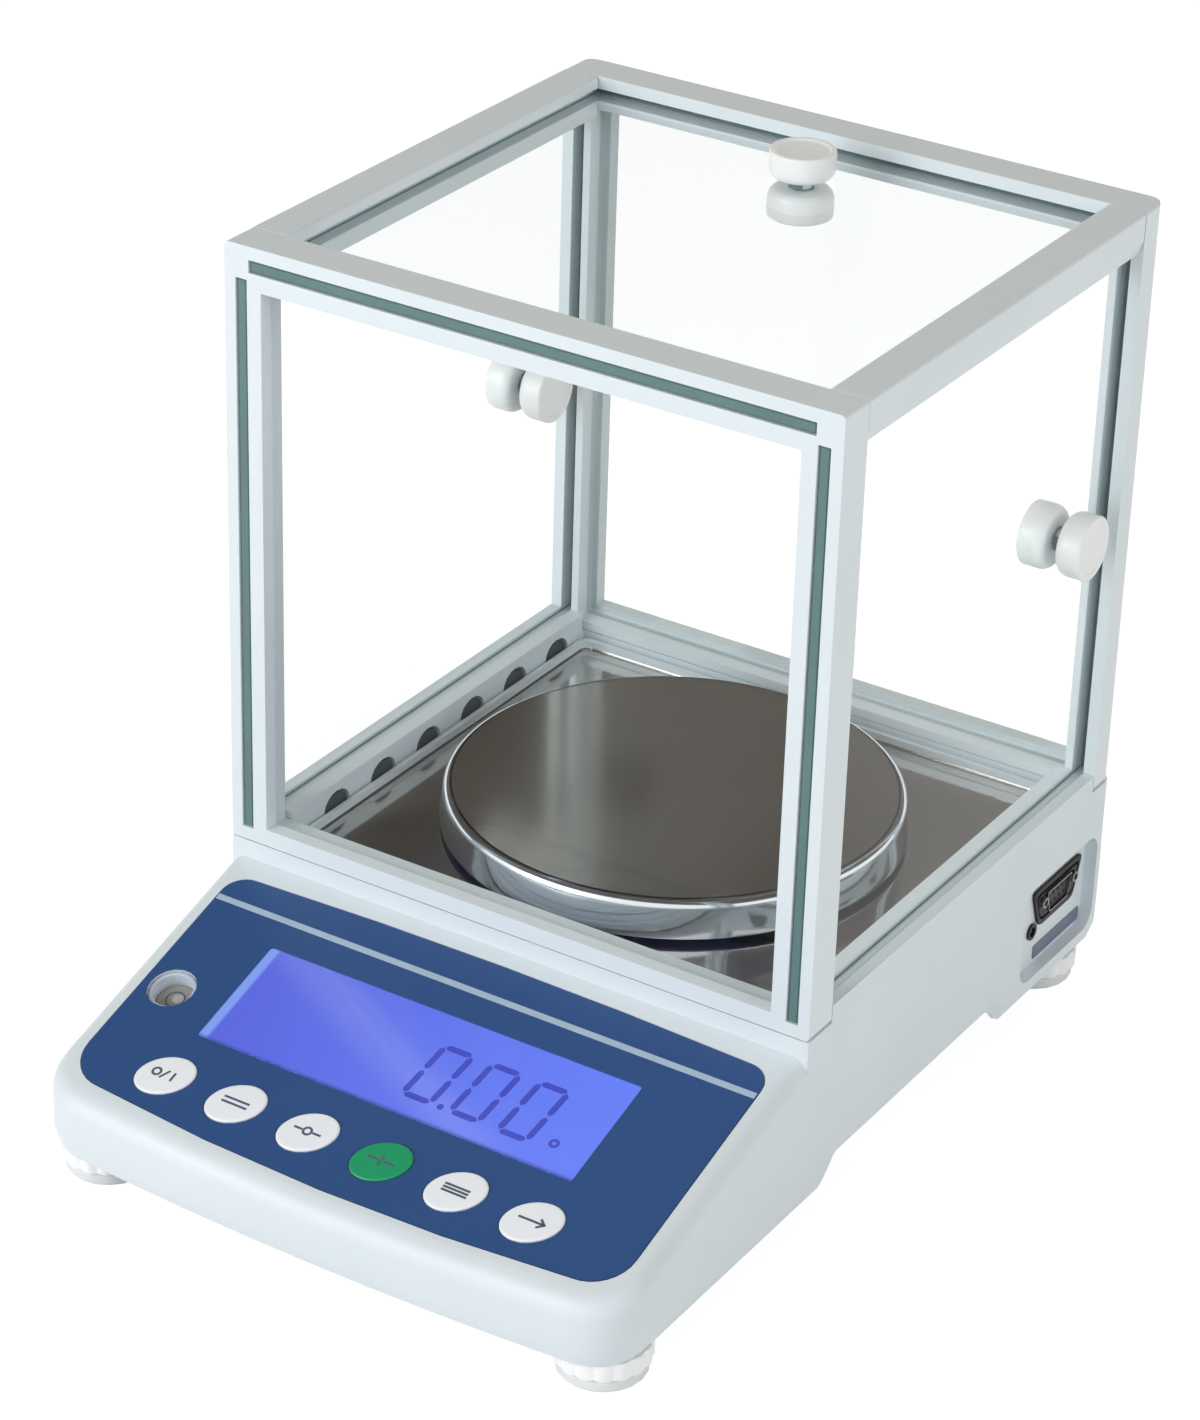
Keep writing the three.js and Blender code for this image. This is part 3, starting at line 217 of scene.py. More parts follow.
def clearGlazing(name, look):
    material, tree, shader = newMaterial(name, {})
    tree.nodes.remove(shader)
    place = addNode(tree, "ShaderNodeTexCoord").outputs["Object"]
    smear = addNode(tree, "ShaderNodeTexNoise",
                    {"Vector": place, "Scale": perGrain(look["smear"]), "Detail": 2})
    gloss = addNode(tree, "ShaderNodeMapRange",
                    {"Value": smear, "To Min": look["clean"], "To Max": look["smeared"]})
    mirror = addNode(tree, "ShaderNodeBsdfAnisotropic", {"Roughness": gloss})
    through = addNode(tree, "ShaderNodeBsdfTransparent", {"Color": linear(look["tint"])})
    fresnel = addNode(tree, "ShaderNodeFresnel", {"IOR": look["ior"]})
    inside = addNode(tree, "ShaderNodeNewGeometry").outputs["Backfacing"]
    outside = addNode(tree, "ShaderNodeMath", {0: 1, 1: inside}, operation="SUBTRACT")
    share = addNode(tree, "ShaderNodeMath", {0: fresnel, 1: outside}, operation="MULTIPLY")
    blend = addNode(tree, "ShaderNodeMixShader", {"Fac": share, 1: through, 2: mirror})
    feed(tree.nodes["Material Output"], {"Surface": blend})
    return material


finishes = {
    "brushed": stainlessSteel("brushedStainless", brushedLook),
    "bright": stainlessSteel("brightStainless", brightLook),
    "polished": stainlessSteel("polishedStainless", polishedLook),
    "glass": clearGlazing("floatGlass", glassLook),
    "window": clearGlazing("clearPolycarbonate", windowLook),
    "whiteInk": grainedFinish("paleBlueInk", tinted(inkLook, "#B4CBE2")),
    "darkInk": grainedFinish("slateInk", tinted(inkLook, "#5A697C")),
    # A slate-blue band on the recess wall, with the grain of the inks
    "recessBand": grainedFinish("slateStrip", tinted(inkLook, "#747E94")),
    "whiteKey": grainedFinish("whiteKeyPlastic", tinted(keyLook, "#F2F8FF")),
    "greenKey": grainedFinish("greenKeyPlastic", tinted(keyLook, "#1EA06C")),
    "acrylic": grainedFinish("frostedAcrylic", acrylicLook),
}

# The other finishes have a row each: the material's name, then these values of its look
columns = ("colour", "shade", "grain", "cloud", "relief", "depth", "smooth", "rough", "shader")
grained = {
    # Moulded ABS of the housing: a spark-eroded mould leaves a fine even grain that softens every highlight
    "abs": ("mouldedAbs", "#DDE8EE", "#D6E2E9", 1.1, 38, 0.12, 0.05, 0.42, 0.52, {"IOR": 1.54}),
    # Powder-coated aluminium of the shield: a baked coat with a little orange peel and a satin gloss
    "coat": ("powderCoat", "#DEE9EE", "#D7E3E9", 1.6, 45, 0.14, 0.04, 0.3, 0.4, {"IOR": 1.5}),
    # Screen-printed polycarbonate foil: a fine velvet face that keeps the navy ink deep
    "foil": ("printedFoil", "#2F558E", "#2A4F87", 0.9, 32, 0.08, 0.03, 0.34, 0.42, {"IOR": 1.58}),
    # Ground edge of float glass: dull, and dark sea-green from the iron in the glass
    "edge": ("groundGlassEdge", "#5F7F80", "#4F6F72", 0.9, 22, 0.3, 0.06, 0.35, 0.5, {"IOR": 1.52}),
    # Moulded nylon of the foot wheels: whiter than the housing, and satin
    "nylon": ("whiteNylon", "#F8FBFD", "#F1F5F8", 1.1, 30, 0.1, 0.05, 0.4, 0.5, {"IOR": 1.53}),
    # Moulded soft PVC of the pads under the feet: pale and matt
    "rubber": ("softPvc", "#E4E8EA", "#D9DEE0", 0.9, 8, 0.25, 0.06, 0.62, 0.78, {"IOR": 1.5}),
    # Dark fill behind the notches, painted shade for their hollow: rough and without gloss
    "notchShade": ("darkFoam", "#4A5457", "#3F494C", 0.8, 7, 0.4, 0.08, 0.85, 0.95, {"IOR": 1.45}),
    # Moulded clear vial over a grey floor: glossy
    "vial": ("levelVial", "#A8A79B", "#9A998C", 0.8, 5, 0.05, 0.01, 0.18, 0.28,
             {"IOR": 1.45, "Coat Weight": 0.4}),
    # Bubble in the vial's liquid: brighter than the liquid, and glossy
    "bubble": ("levelBubble", "#C9CCC2", "#BFC3B8", 0.5, 3, 0.02, 0.01, 0.1, 0.2, {"IOR": 1.3}),
    # Moulded black nylon of the sockets: nearly without gloss
    "black": ("blackNylon", "#191A1C", "#121315", 0.6, 6, 0.2, 0.03, 0.5, 0.65, {"IOR": 1.53}),
    # Nickel-plated, tumbled steel of the socket's shell and posts: grey and a little dull
    "nickel": ("dullNickel", "#8E8E8B", "#7F7F7C", 0.7, 5, 0.1, 0.02, 0.32, 0.45, {"Metallic": 1}),
    # Gold plate on the drawn contacts of the socket: small warm glints
    "gold": ("goldPlate", "#D9B45F", "#C9A24E", 0.5, 3, 0.05, 0.01, 0.2, 0.3, {"Metallic": 1}),
    # Tin-plated steel of screws and stop: pale, with a soft mirror
    "plated": ("tinPlate", "#B8BABD", "#A7A9AD", 0.7, 5, 0.1, 0.02, 0.2, 0.34, {"Metallic": 1}),
    # Cast and milled aluminium of the load cell and its fittings: grey and satin
    "aluminium": ("milledAluminium", "#B9BCBF", "#ACB0B4", 0.9, 12, 0.2, 0.05, 0.34, 0.46, {"Metallic": 1}),
    # Solder mask poured over a glass-fibre board: green, with a thin glossy coat
    "board": ("solderMask", "#1F6B3C", "#185A31", 1.2, 9, 0.2, 0.04, 0.35, 0.5,
              {"IOR": 1.55, "Coat Weight": 0.3}),
}
for key, (name, *values) in grained.items():
    finishes[key] = grainedFinish(name, dict(zip(columns, values)))
print("materials made:", len(finishes))


# Outlines and profiles are lists of points. Each corner is turned into a small arc, which takes no more than
# this share of the sides beside it.
cornerShare = 0.45


def softened(points, radius, steps=3, closed=False):
    result = []
    count = len(points)
    for i, point in enumerate(points):
        here = Vector(point)
        if not closed and i in (0, count - 1):
            result.append(here)
            continue
        before = Vector(points[i - 1]) - here
        after = Vector(points[(i + 1) % count]) - here
        reach = min(radius, before.length * cornerShare, after.length * cornerShare)
        start = here + before.normalized() * reach
        end = here + after.normalized() * reach
        for j in range(steps + 1):
            t = j / steps
            result.append(start * (1 - t) ** 2 + here * 2 * t * (1 - t) + end * t ** 2)
    return result


def anglesRound(steps):
    return [2 * math.pi * i / steps for i in range(steps)]


def ovalOutline(halfWidth, halfHeight, steps):
    return [Vector((halfWidth * math.cos(a), halfHeight * math.sin(a))) for a in anglesRound(steps)]


def boxOutline(halfWidth, halfHeight):
    return [Vector((x * halfWidth, y * halfHeight)) for x, y in ((-1, -1), (1, -1), (1, 1), (-1, 1))]


# A part is a list of corners, a list of faces and a material. Turned parts start and end on the axis,
# or close on themselves.
def turnedPart(profile, segments, finish, place=straightUp, closed=False):
    rings, corners, faces = [], [], []
    for radius, height in profile:
        if radius == 0:
            rings.append([len(corners)])
            corners.append(place @ Vector((0, 0, height)))
            continue
        rings.append([len(corners) + i for i in range(segments)])
        corners += [place @ Vector((x, y, height)) for x, y in ovalOutline(radius, radius, segments)]
    pairs = list(zip(rings, rings[1:])) + ([(rings[-1], rings[0])] if closed else [])
    for low, high in pairs:
        for i in range(segments):
            j = (i + 1) % segments
            if len(low) == 1 and len(high) > 1:
                faces.append((low[0], high[j], high[i]))
            elif len(high) == 1 and len(low) > 1:
                faces.append((low[i], low[j], high[0]))
            elif len(low) > 1:
                faces.append((low[i], low[j], high[j], high[i]))
    return corners, faces, finish


# Layers are outlines with equal counts of points, each with its height. A lid closes both ends, or the
# last layer joins the first in a ring.
def layeredPart(layers, finish, place=straightUp, closed=False):
    count = len(layers[0][0])
    corners = [place @ Vector((x, y, height)) for outline, height in layers for x, y in outline]
    last = len(layers) - 1
    faces = [] if closed else [tuple(reversed(range(count))), tuple(last * count + i for i in range(count))]
    for r in range(len(layers) if closed else last):
        for i in range(count):
            j = (i + 1) % count
            low, high = r * count, (r + 1) % len(layers) * count
            faces.append((low + i, low + j, high + j, high + i))
    return corners, faces, finish


def slabPart(outline, low, high, finish, place=straightUp):
    return layeredPart([(outline, low), (outline, high)], finish, place)


def pegPart(radius, low, high, segments, finish, place):
    return turnedPart([(0, low), (radius, low), (radius, high), (0, high)], segments, finish, place)


def ringPart(radius, half, low, high, segments, finish, place):
    profile = [(radius - half, low), (radius + half, low), (radius + half, high), (radius - half, high)]
    return turnedPart(profile, segments, finish, place, closed=True)


def buildPiece(name, parts, sharp=35):
    used = list(dict.fromkeys(finish for _, _, finish in parts))
    corners, faces, kinds = [], [], []
    for partCorners, partFaces, finish in parts:
        start = len(corners)
        corners += partCorners
        faces += [tuple(start + i for i in face) for face in partFaces]
        kinds += [used.index(finish)] * len(partFaces)
    mesh = bpy.data.meshes.new(name)
    mesh.from_pydata([tuple(c) for c in corners], [], faces)
    for finish in used:
        mesh.materials.append(finishes[finish])
    mesh.polygons.foreach_set("material_index", kinds)
    shape = bmesh.new()
    shape.from_mesh(mesh)
    bmesh.ops.recalc_face_normals(shape, faces=shape.faces)
    shape.to_mesh(mesh)
    shape.free()
    mesh.shade_smooth()
    mesh.set_sharp_from_angle(angle=sharp * degree)
    return placed(name, mesh)


# A detail rides on the body of a CAD node. A piece that stands for the node also hides it.
def attach(piece, node):
    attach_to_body(piece, nodes[node]["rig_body"])


def settle(piece, node):
    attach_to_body(piece, nodes[node]["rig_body"])
    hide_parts(node)


def mergedShape(node):
    shape = bmesh.new()
    shape.from_mesh(nodes[node].data)
    bmesh.ops.remove_doubles(shape, verts=shape.verts, dist=mergeReach)
    return shape


# A rigid part of the frame with its edges broken. Triangles that turn less than flat degrees from each other
# are merged into whole faces first.
breaking = {"flat": 0.25, "shadingWeight": 100}


def dressed(node, finish, bevel, sharp=32, steps=2):
    mesh = nodes[node].data.copy()
    mesh.materials.clear()
    mesh.materials.append(finishes[finish])
    shape = mergedShape(node)
    bmesh.ops.dissolve_limit(shape, angle_limit=breaking["flat"] * degree, verts=shape.verts,
                             edges=shape.edges)
    bmesh.ops.connect_verts_concave(shape, faces=shape.faces)
    for face in shape.faces:
        face.material_index = 0
    shape.to_mesh(mesh)
    shape.free()
    mesh.shade_smooth()
    mesh.set_sharp_from_angle(angle=sharp * degree)
    piece = placed(node + "_finished", mesh)
    edges = piece.modifiers.new("brokenEdges", "BEVEL")
    edges.limit_method = "ANGLE"
    edges.angle_limit = sharp * degree
    edges.width = bevel * mm
    edges.segments = steps
    edges.use_clamp_overlap = True
    shading = piece.modifiers.new("evenShading", "WEIGHTED_NORMAL")
    shading.keep_sharp = True
    shading.weight = breaking["shadingWeight"]
    settle(piece, node)
    return piece


# Rows of equal pieces: a line of copies, and copies of that line
def repeatTree():
    tree = bpy.data.node_groups.new("rowsOfPieces", "GeometryNodeTree")
    for name, kind in (("Piece", "NodeSocketObject"), ("Start", "NodeSocketVector"),
                       ("Along", "NodeSocketInt"), ("Along Step", "NodeSocketVector"),
                       ("Across", "NodeSocketInt"), ("Across Step", "NodeSocketVector"),
                       ("Finish", "NodeSocketMaterial")):
        tree.interface.new_socket(name, in_out="INPUT", socket_type=kind)
    tree.interface.new_socket("Geometry", in_out="OUTPUT", socket_type="NodeSocketGeometry")
    given = addNode(tree, "NodeGroupInput").outputs
    row = addNode(tree, "GeometryNodeMeshLine", {"Count": given["Along"], "Offset": given["Along Step"]})
    rows = addNode(tree, "GeometryNodeMeshLine", {
        "Count": given["Across"], "Offset": given["Across Step"], "Start Location": given["Start"],
    })
    grid = addNode(tree, "GeometryNodeInstanceOnPoints", {"Points": rows, "Instance": row})
    places = addNode(tree, "GeometryNodeRealizeInstances", {"Geometry": grid})
    piece = addNode(tree, "GeometryNodeObjectInfo", {"Object": given["Piece"]}).outputs["Geometry"]
    copies = addNode(tree, "GeometryNodeInstanceOnPoints", {"Points": places, "Instance": piece})
    solid = addNode(tree, "GeometryNodeRealizeInstances", {"Geometry": copies})
    painted = addNode(tree, "GeometryNodeSetMaterial", {"Geometry": solid, "Material": given["Finish"]})
    addNode(tree, "NodeGroupOutput", {"Geometry": painted})
    return tree


rowsOfPieces = repeatTree()


def rowsOf(name, part, start, along, alongStep, across=1, acrossStep=(0, 0, 0)):
    single = buildPiece(name + "_one", [part])
    carrier = placed(name, bpy.data.meshes.new(name))
    rows = carrier.modifiers.new("rows", "NODES")
    rows.node_group = rowsOfPieces
    given = {"Piece": single, "Start": start, "Along": along, "Along Step": alongStep, "Across": across,
             "Across Step": acrossStep, "Finish": finishes[part[2]]}
    for socket in rowsOfPieces.interface.items_tree:
        if socket.in_out == "INPUT":
            rows[socket.identifier] = given[socket.name]
    grown = carrier.evaluated_get(bpy.context.evaluated_depsgraph_get())
    mesh = bpy.data.meshes.new_from_object(grown)
    for used in (carrier, single):
        bpy.data.objects.remove(used)
    return placed(name, mesh)


# Places on the console, measured along it, up its slope and out of it from the line at the deck
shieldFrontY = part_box("front_frame")[0].y
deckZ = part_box("spill_tray")[0].z - touchGap
outOfConsole = -axisOfJoint["key_1_press"].normalized()
upSlope = outOfConsole.cross(Vector((1, 0, 0)))
consolePlace = Matrix((
    (1, 0, 0, 0),
    (0, upSlope.y, outOfConsole.y, shieldFrontY),
    (0, upSlope.z, outOfConsole.z, deckZ),
    (0, 0, 0, 1),
))
intoConsole = consolePlace.inverted()


def consoleBox(node):
    points = [intoConsole @ v.co for v in nodes[node].data.vertices]
    low = Vector([min(p[i] for p in points) for i in range(3)])
    high = Vector([max(p[i] for p in points) for i in range(3)])
    return low, high


def atConsole(x, y, z=0):
    return consolePlace @ Matrix.Translation((x, y, z))


# Housing and shield frame
for node, finish, bevel in (
    ("top_housing", "abs", 0.25), ("base_housing", "abs", 0.3), ("front_frame", "coat", 0.3),
    ("back_frame", "coat", 0.3), ("top_rail_left", "coat", 0.3), ("top_rail_right", "coat", 0.3),
):
    dressed(node, finish, bevel)
print("housing and shield frame finished")

# Dark pads stand behind the arched notches along the foot of both side curbs, painted shade for the hollow of
# each notch
notches = {
    "count": 6, "first": 34, "pitch": 23.2, "halfWidth": 6.0, "foot": 3.2, "arch": 3.4, "low": 0.4,
    "sunk": 0.9, "thick": 1.7, "steps": 24,
}
acrossX = Matrix(((0, 0, 1, 0), (1, 0, 0, 0), (0, 1, 0, 0), (0, 0, 0, 1)))  # outline in Y and Z, height in X


def notchShadePads():
    wide, foot, arch, low, thick, sunk, first, pitch = metres(
        notches, "halfWidth", "foot", "arch", "low", "thick", "sunk", "first", "pitch")
    steps, half = notches["steps"], thick / 2
    outline = [(wide, low)]
    outline += [(wide * math.cos(math.pi * i / steps), foot + arch * math.sin(math.pi * i / steps))
                for i in range(steps + 1)]
    outline += [(-wide, low)]
    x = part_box("top_rail_right")[0].x + sunk + half
    shadePads = rowsOf("notch_pads", slabPart(outline, -half, half, "notchShade", acrossX),
                  start=(-x, shieldFrontY + first, deckZ), along=notches["count"], alongStep=(0, pitch, 0),
                  across=2, acrossStep=(2 * x, 0, 0))
    attach(shadePads, "top_housing")


notchShadePads()

# Screws of the base: pan heads with a cross recess, sunk in the cover's underside. The head has steps, each a
# share of its radius and of its height, and the cross narrows to a share of its length and width.
screws = {
    "radius": 3.1, "height": 1.0, "head": ((1, 0), (1, 0.45), (0.88, 0.85), (0.7, 1)), "cross": 1.7,
    "slot": 0.42, "recess": 0.6, "crossFoot": (0.85, 0.8), "steps": 48, "top": 19.6, "x": 60, "front": -47.5,
    "back": 129.35, "sideX": 86.85, "sideY": 10.5,
}


def crossOutline(reach, half, steps):
    points = []
    for a in anglesRound(steps):
        c, s = max(abs(math.cos(a)), 1e-6), max(abs(math.sin(a)), 1e-6)
        r = max(min(reach / c, half / s), min(half / c, reach / s))
        points.append(Vector((r * math.cos(a), r * math.sin(a))))
    return points


def baseScrews():
    r, height, cross, slot, recess, x, front, back, top, sideX, sideY = metres(
        screws, "radius", "height", "cross", "slot", "recess", "x", "front", "back", "top", "sideX", "sideY")
    steps, (footLong, footWide) = screws["steps"], screws["crossFoot"]
    layers = [(ovalOutline(r * wide, r * wide, steps), -height * deep) for wide, deep in screws["head"]]
    layers += [(crossOutline(cross, slot, steps), -height),
               (crossOutline(cross * footLong, slot * footWide, steps), recess - height)]
    head = layeredPart(layers, "plated")
    attach(rowsOf("base_screws", head, (-x, front, top), 2, (2 * x, 0, 0), 2, (0, back - front, 0)),
           "base_housing")
    attach(rowsOf("side_screws", head, (-sideX, sideY, top), 2, (2 * sideX, 0, 0)), "base_housing")


baseScrews()
print("notch pads and base screws finished")


# Glass: the sheets keep their sizes and holes. The ends of the doors show the green of the glass.
glass = {"arris": 0.35, "sharp": 40, "endFacing": 0.9}


def glassSheet(node):
    slides = "door" in node
    piece = dressed(node, "glass", glass["arris"], sharp=glass["sharp"], steps=1)
    piece.modifiers.remove(piece.modifiers["evenShading"])
    piece.data.materials.append(finishes["edge"])
    for face in piece.data.polygons:
        face.material_index = int(slides and abs(face.normal.y) > glass["endFacing"])
    piece.data.shade_flat()
    piece.modifiers["brokenEdges"].material = int(slides)


for node in ("front_glass", "back_glass", "left_door_glass", "right_door_glass", "top_door_glass"):
    glassSheet(node)
print("glass finished")


# Knobs: two milky discs on the faces of each door, the outer one with a stud through the glass
knob = {
    "edge": 1.5, "rise": 1.8, "dish": 0.6, "dishShare": 0.78, "footShare": 0.87, "segments": 64, "stud": 3,
    "studSegments": 32,
}


def knobPart(node, direction):
    low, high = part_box(node)
    along = [i for i in range(3) if direction[i]][0]
    glassLow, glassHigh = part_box(node.split("_")[0] + "_door_glass")
    base, tip = glassLow[along] - touchGap, low[along]
    if direction[along] > 0:
        base, tip = glassHigh[along] + touchGap, high[along]
    height = abs(tip - base)
    radius = max(high[i] - low[i] for i in range(3) if i != along) / 2
    middle = (low + high) / 2
    middle[along] = base
    place = Matrix.Translation(middle) @ Vector(direction).to_track_quat("Z", "Y").to_matrix().to_4x4()
    edge, rise, dish, stud = metres(knob, "edge", "rise", "dish", "stud")
    dishRadius = radius * knob["dishShare"]
    profile = [(0, 0), (radius * knob["footShare"], 0), (radius, rise), (radius, height),
               (dishRadius + dish, height), (dishRadius, height - dish), (0, height - dish)]
    parts = [turnedPart(softened(profile, edge), knob["segments"], "acrylic", place)]
    if node.endswith("outer"):
        reach = (high - low)[along] - height
        parts.append(pegPart(stud, -reach, edge, knob["studSegments"], "acrylic", place))
    settle(buildPiece(node + "_disc", parts), node)


for node, direction in (
    ("left_knob_outer", (-1, 0, 0)), ("left_knob_inner", (1, 0, 0)), ("right_knob_outer", (1, 0, 0)),
    ("right_knob_inner", (-1, 0, 0)), ("top_knob_outer", (0, 0, 1)), ("top_knob_inner", (0, 0, -1)),
):
    knobPart(node, direction)
print("knobs finished")


# Pan: one pressed sheet, brushed on top, with a bright rolled edge, and a skirt that flares a little and
# comes down close to the tray
pan = {
    "sheet": 1.2, "roll": 2.6, "rollSteps": 10, "hem": 0.5, "brushedShare": 0.955, "segments": 160,
    "footLift": 2.6, "flare": 1.0,
}


def weighingPan():
    low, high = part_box("weighing_pan")
    radius = (high.x - low.x) / 2
    sheet, roll, flare, footLift, hemArc = metres(pan, "sheet", "roll", "flare", "footLift", "hem")
    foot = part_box("spill_tray")[0].z + footLift
    place = Matrix.Translation(((low.x + high.x) / 2, (low.y + high.y) / 2, 0))

    def rollArc(inner):
        steps, r = pan["rollSteps"], roll - inner
        angles = [math.pi / 2 * i / steps for i in range(steps + 1)]
        return [(radius - flare - roll + r * math.cos(a), high.z - roll + r * math.sin(a)) for a in angles]

    brushed = radius * pan["brushedShare"]
    above = 2 * sheet
    back = above * flare / (high.z - roll - foot)
    hem = softened([(radius - sheet - back, foot + above), (radius - sheet, foot), (radius, foot),
                    (radius - back, foot + above)], hemArc)
    edge = [(0, high.z - sheet)] + rollArc(sheet)[::-1] + hem + rollArc(0) + [(brushed, high.z)]
    parts = [turnedPart(edge, pan["segments"], "polished", place),
             turnedPart([(brushed, high.z), (0, high.z)], pan["segments"], "brushed", place)]
    settle(buildPiece("pan_sheet", parts), "weighing_pan")


weighingPan()
dressed("spill_tray", "bright", bevel=0.25)

# Pale edging clipped over the upturned rim of the tray: a painted reflection, a light line where the steel
# rim mirrors light
rimReflectionEdging = {"low": 1.9, "over": 0.25, "out": 0.3, "wall": 0.8, "in": 0.4, "gap": 0.06, "corner": 4, "steps": 8}


def trayRimReflection():
    low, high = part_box("spill_tray")
    halfWide, halfDeep = (high.x - low.x) / 2, (high.y - low.y) / 2
    place = Matrix.Translation(((low.x + high.x) / 2, (low.y + high.y) / 2, high.z))
    down, over, out, wall, lip, gap, corner = metres(
        rimReflectionEdging, "low", "over", "out", "wall", "in", "gap", "corner")

    def loop(inset):
        box = boxOutline(halfWide - inset, halfDeep - inset)
        return softened(box, corner - inset, rimReflectionEdging["steps"], closed=True)

    strip = layeredPart([
        (loop(-out), -down), (loop(-out), over), (loop(wall + lip), over), (loop(wall + lip), -down),
        (loop(wall + gap), -down), (loop(wall + gap), gap), (loop(-gap), gap), (loop(-gap), -down),
    ], "coat", place, closed=True)
    attach(buildPiece("tray_edging", [strip]), "spill_tray")


trayRimReflection()
print("pan and tray finished")


# Keys: crowned ovals that lean, with half their length and width and the degrees up from the console's width.
# Each has a body under its cap, a flange under the housing and a stem. The top has rings, each a share of the
# cap and its depth under the highest point.
keys = {
    "count": 6, "green": 4, "halfLong": 8.7, "halfShort": 6.5, "lean": 34, "gap": 0.35, "plate": 0.35,
    "rim": 0.9, "crown": 0.55, "rimRise": 0.8, "crownSteps": 8, "top": ((0.6, 0.03), (0.2, 0)), "steps": 72,
    "body": (7.1, 5.3), "bodyDepth": 4, "flangeTop": 2.8, "flange": 1, "stem": 2, "stemSteps": 24,
    "sharp": 40,
}


def leaningPoint(halfLong, halfShort, bearing):
    lean = keys["lean"] * degree
    level = Vector((halfLong * math.cos(bearing - lean), halfShort * math.sin(bearing - lean)))
    return Matrix.Rotation(lean, 2) @ level


def leaningOval(halfLong, halfShort):
    return [leaningPoint(halfLong, halfShort, a) for a in anglesRound(keys["steps"])]


# Keypad foil with its print, a pale line across it. Its sheet is filled between the edges of the solid's face
# and pressed to the solid's thickness, and its keyholes are drawn round the leaning keys.
foil = {
    "facing": 0.9, "faceDepth": 0.01, "line": 16.5, "lineWidth": 2.0, "lineCorner": 0.2, "lineMargin": 0.15,
    "inkHeight": 0.03,
}


# Where a point of the foil's edge goes: on a keyhole it moves to the same bearing on the leaning oval
def foilPoint(point, holes):
    halfLong, halfShort, gap = metres(keys, "halfLong", "halfShort", "gap")
    for middle, reach in holes:
        away = point - middle
        if abs(away.x) < reach.x and abs(away.y) < reach.y:
            bearing = math.atan2(away.y / reach.y, away.x / reach.x)
            oval = leaningPoint(halfLong + gap, halfShort + gap, bearing)
            return Vector((middle.x + oval.x, middle.y + oval.y, point.z))
    return point


def foilSheet():
    low, high = consoleBox("keypad_overlay")
    boxes = [consoleBox(f"key_{i + 1}") for i in range(keys["count"])]
    holes = [((keyLow + keyHigh) / 2, (keyHigh - keyLow) / 2) for keyLow, keyHigh in boxes]
    solid = mergedShape("keypad_overlay")
    solid.normal_update()
    top = {face for face in solid.faces if face.normal.dot(outOfConsole) > foil["facing"]
           and (intoConsole @ face.calc_center_median()).z > high.z - foil["faceDepth"] * mm}
    flat = bmesh.new()
    made = {}
    for edge in solid.edges:
        if sum(face in top for face in edge.link_faces) != 1:
            continue
        for corner in edge.verts:
            if corner not in made:
                made[corner] = flat.verts.new(consolePlace @ foilPoint(intoConsole @ corner.co, holes))
        flat.edges.new([made[corner] for corner in edge.verts])
    solid.free()
    bmesh.ops.triangle_fill(flat, edges=flat.edges, use_beauty=True, normal=outOfConsole)
    mesh = bpy.data.meshes.new("keypad_foil")
    flat.to_mesh(mesh)
    flat.free()
    mesh.materials.append(finishes["foil"])
    if mesh.polygons[0].normal.dot(outOfConsole) < 0:
        mesh.flip_normals()
    piece = placed("keypad_foil", mesh)
    sheet = piece.modifiers.new("foilSheet", "SOLIDIFY")
    sheet.thickness = high.z - low.z
    sheet.offset = -1
    settle(piece, "keypad_overlay")


def foilLine():
    high = consoleBox("keypad_overlay")[1]
    down, width, corner, margin, ink = metres(
        foil, "line", "lineWidth", "lineCorner", "lineMargin", "inkHeight")
    outline = softened(boxOutline(high.x - margin, width / 2), corner, closed=True)
    line = slabPart(outline, -ink, ink, "whiteInk", atConsole(0, -down, high.z))
    attach(buildPiece("foil_line", [line]), "keypad_overlay")


foilSheet()
foilLine()
print("foil finished")


# Display: a lit panel under the clear window, brighter along its left wall, a painted glow of the backlight
# on the wall, darker along its lower edge, a painted shade, with a faint painted reflection as a streak
# across it.
# The digits are ink that glows less.
lcd = {
    # wall is the colour of the painted backlight glow along the left wall, shade that of the painted shade at
    # the lower edge
    "film": 0.17, "gap": 0.08, "corner": 0.6, "face": "#6C86FB", "faceLeft": "#5E6ADF", "wall": "#86A6F2",
    "wallGlowFrom": 1.92, "wallGlowFade": 1.28, "shade": "#4150A8", "paintedShadeWidth": 1.6, "unlit": "#10143A",
    "ior": 1.5, "rough": 0.35, "segmentRough": 0.4, "strength": 0.95, "cloud": 30, "uneven": 0.12,
    "paintedReflection": "#DCE6FF", "paintedReflectionFrom": (-43.8, -29.8), "paintedReflectionTo": (14.3, -56.8), "paintedReflectionWidth": 11,
    "paintedReflectionShare": 0.09, "segment": "#4A55CC", "segmentUnlit": 0.3, "segmentStrength": 0.8,
}


# Share from one down to nothing over a width along a direction on the console
def fadeAlong(tree, place, direction, start, width):
    along = addNode(tree, "ShaderNodeVectorMath", {0: place, 1: direction}, operation="DOT_PRODUCT")
    return addNode(tree, "ShaderNodeMapRange", {
        "Value": along, "From Min": start, "From Max": start + width, "To Min": 1, "To Max": 0,
    }, interpolation_type="SMOOTHSTEP")


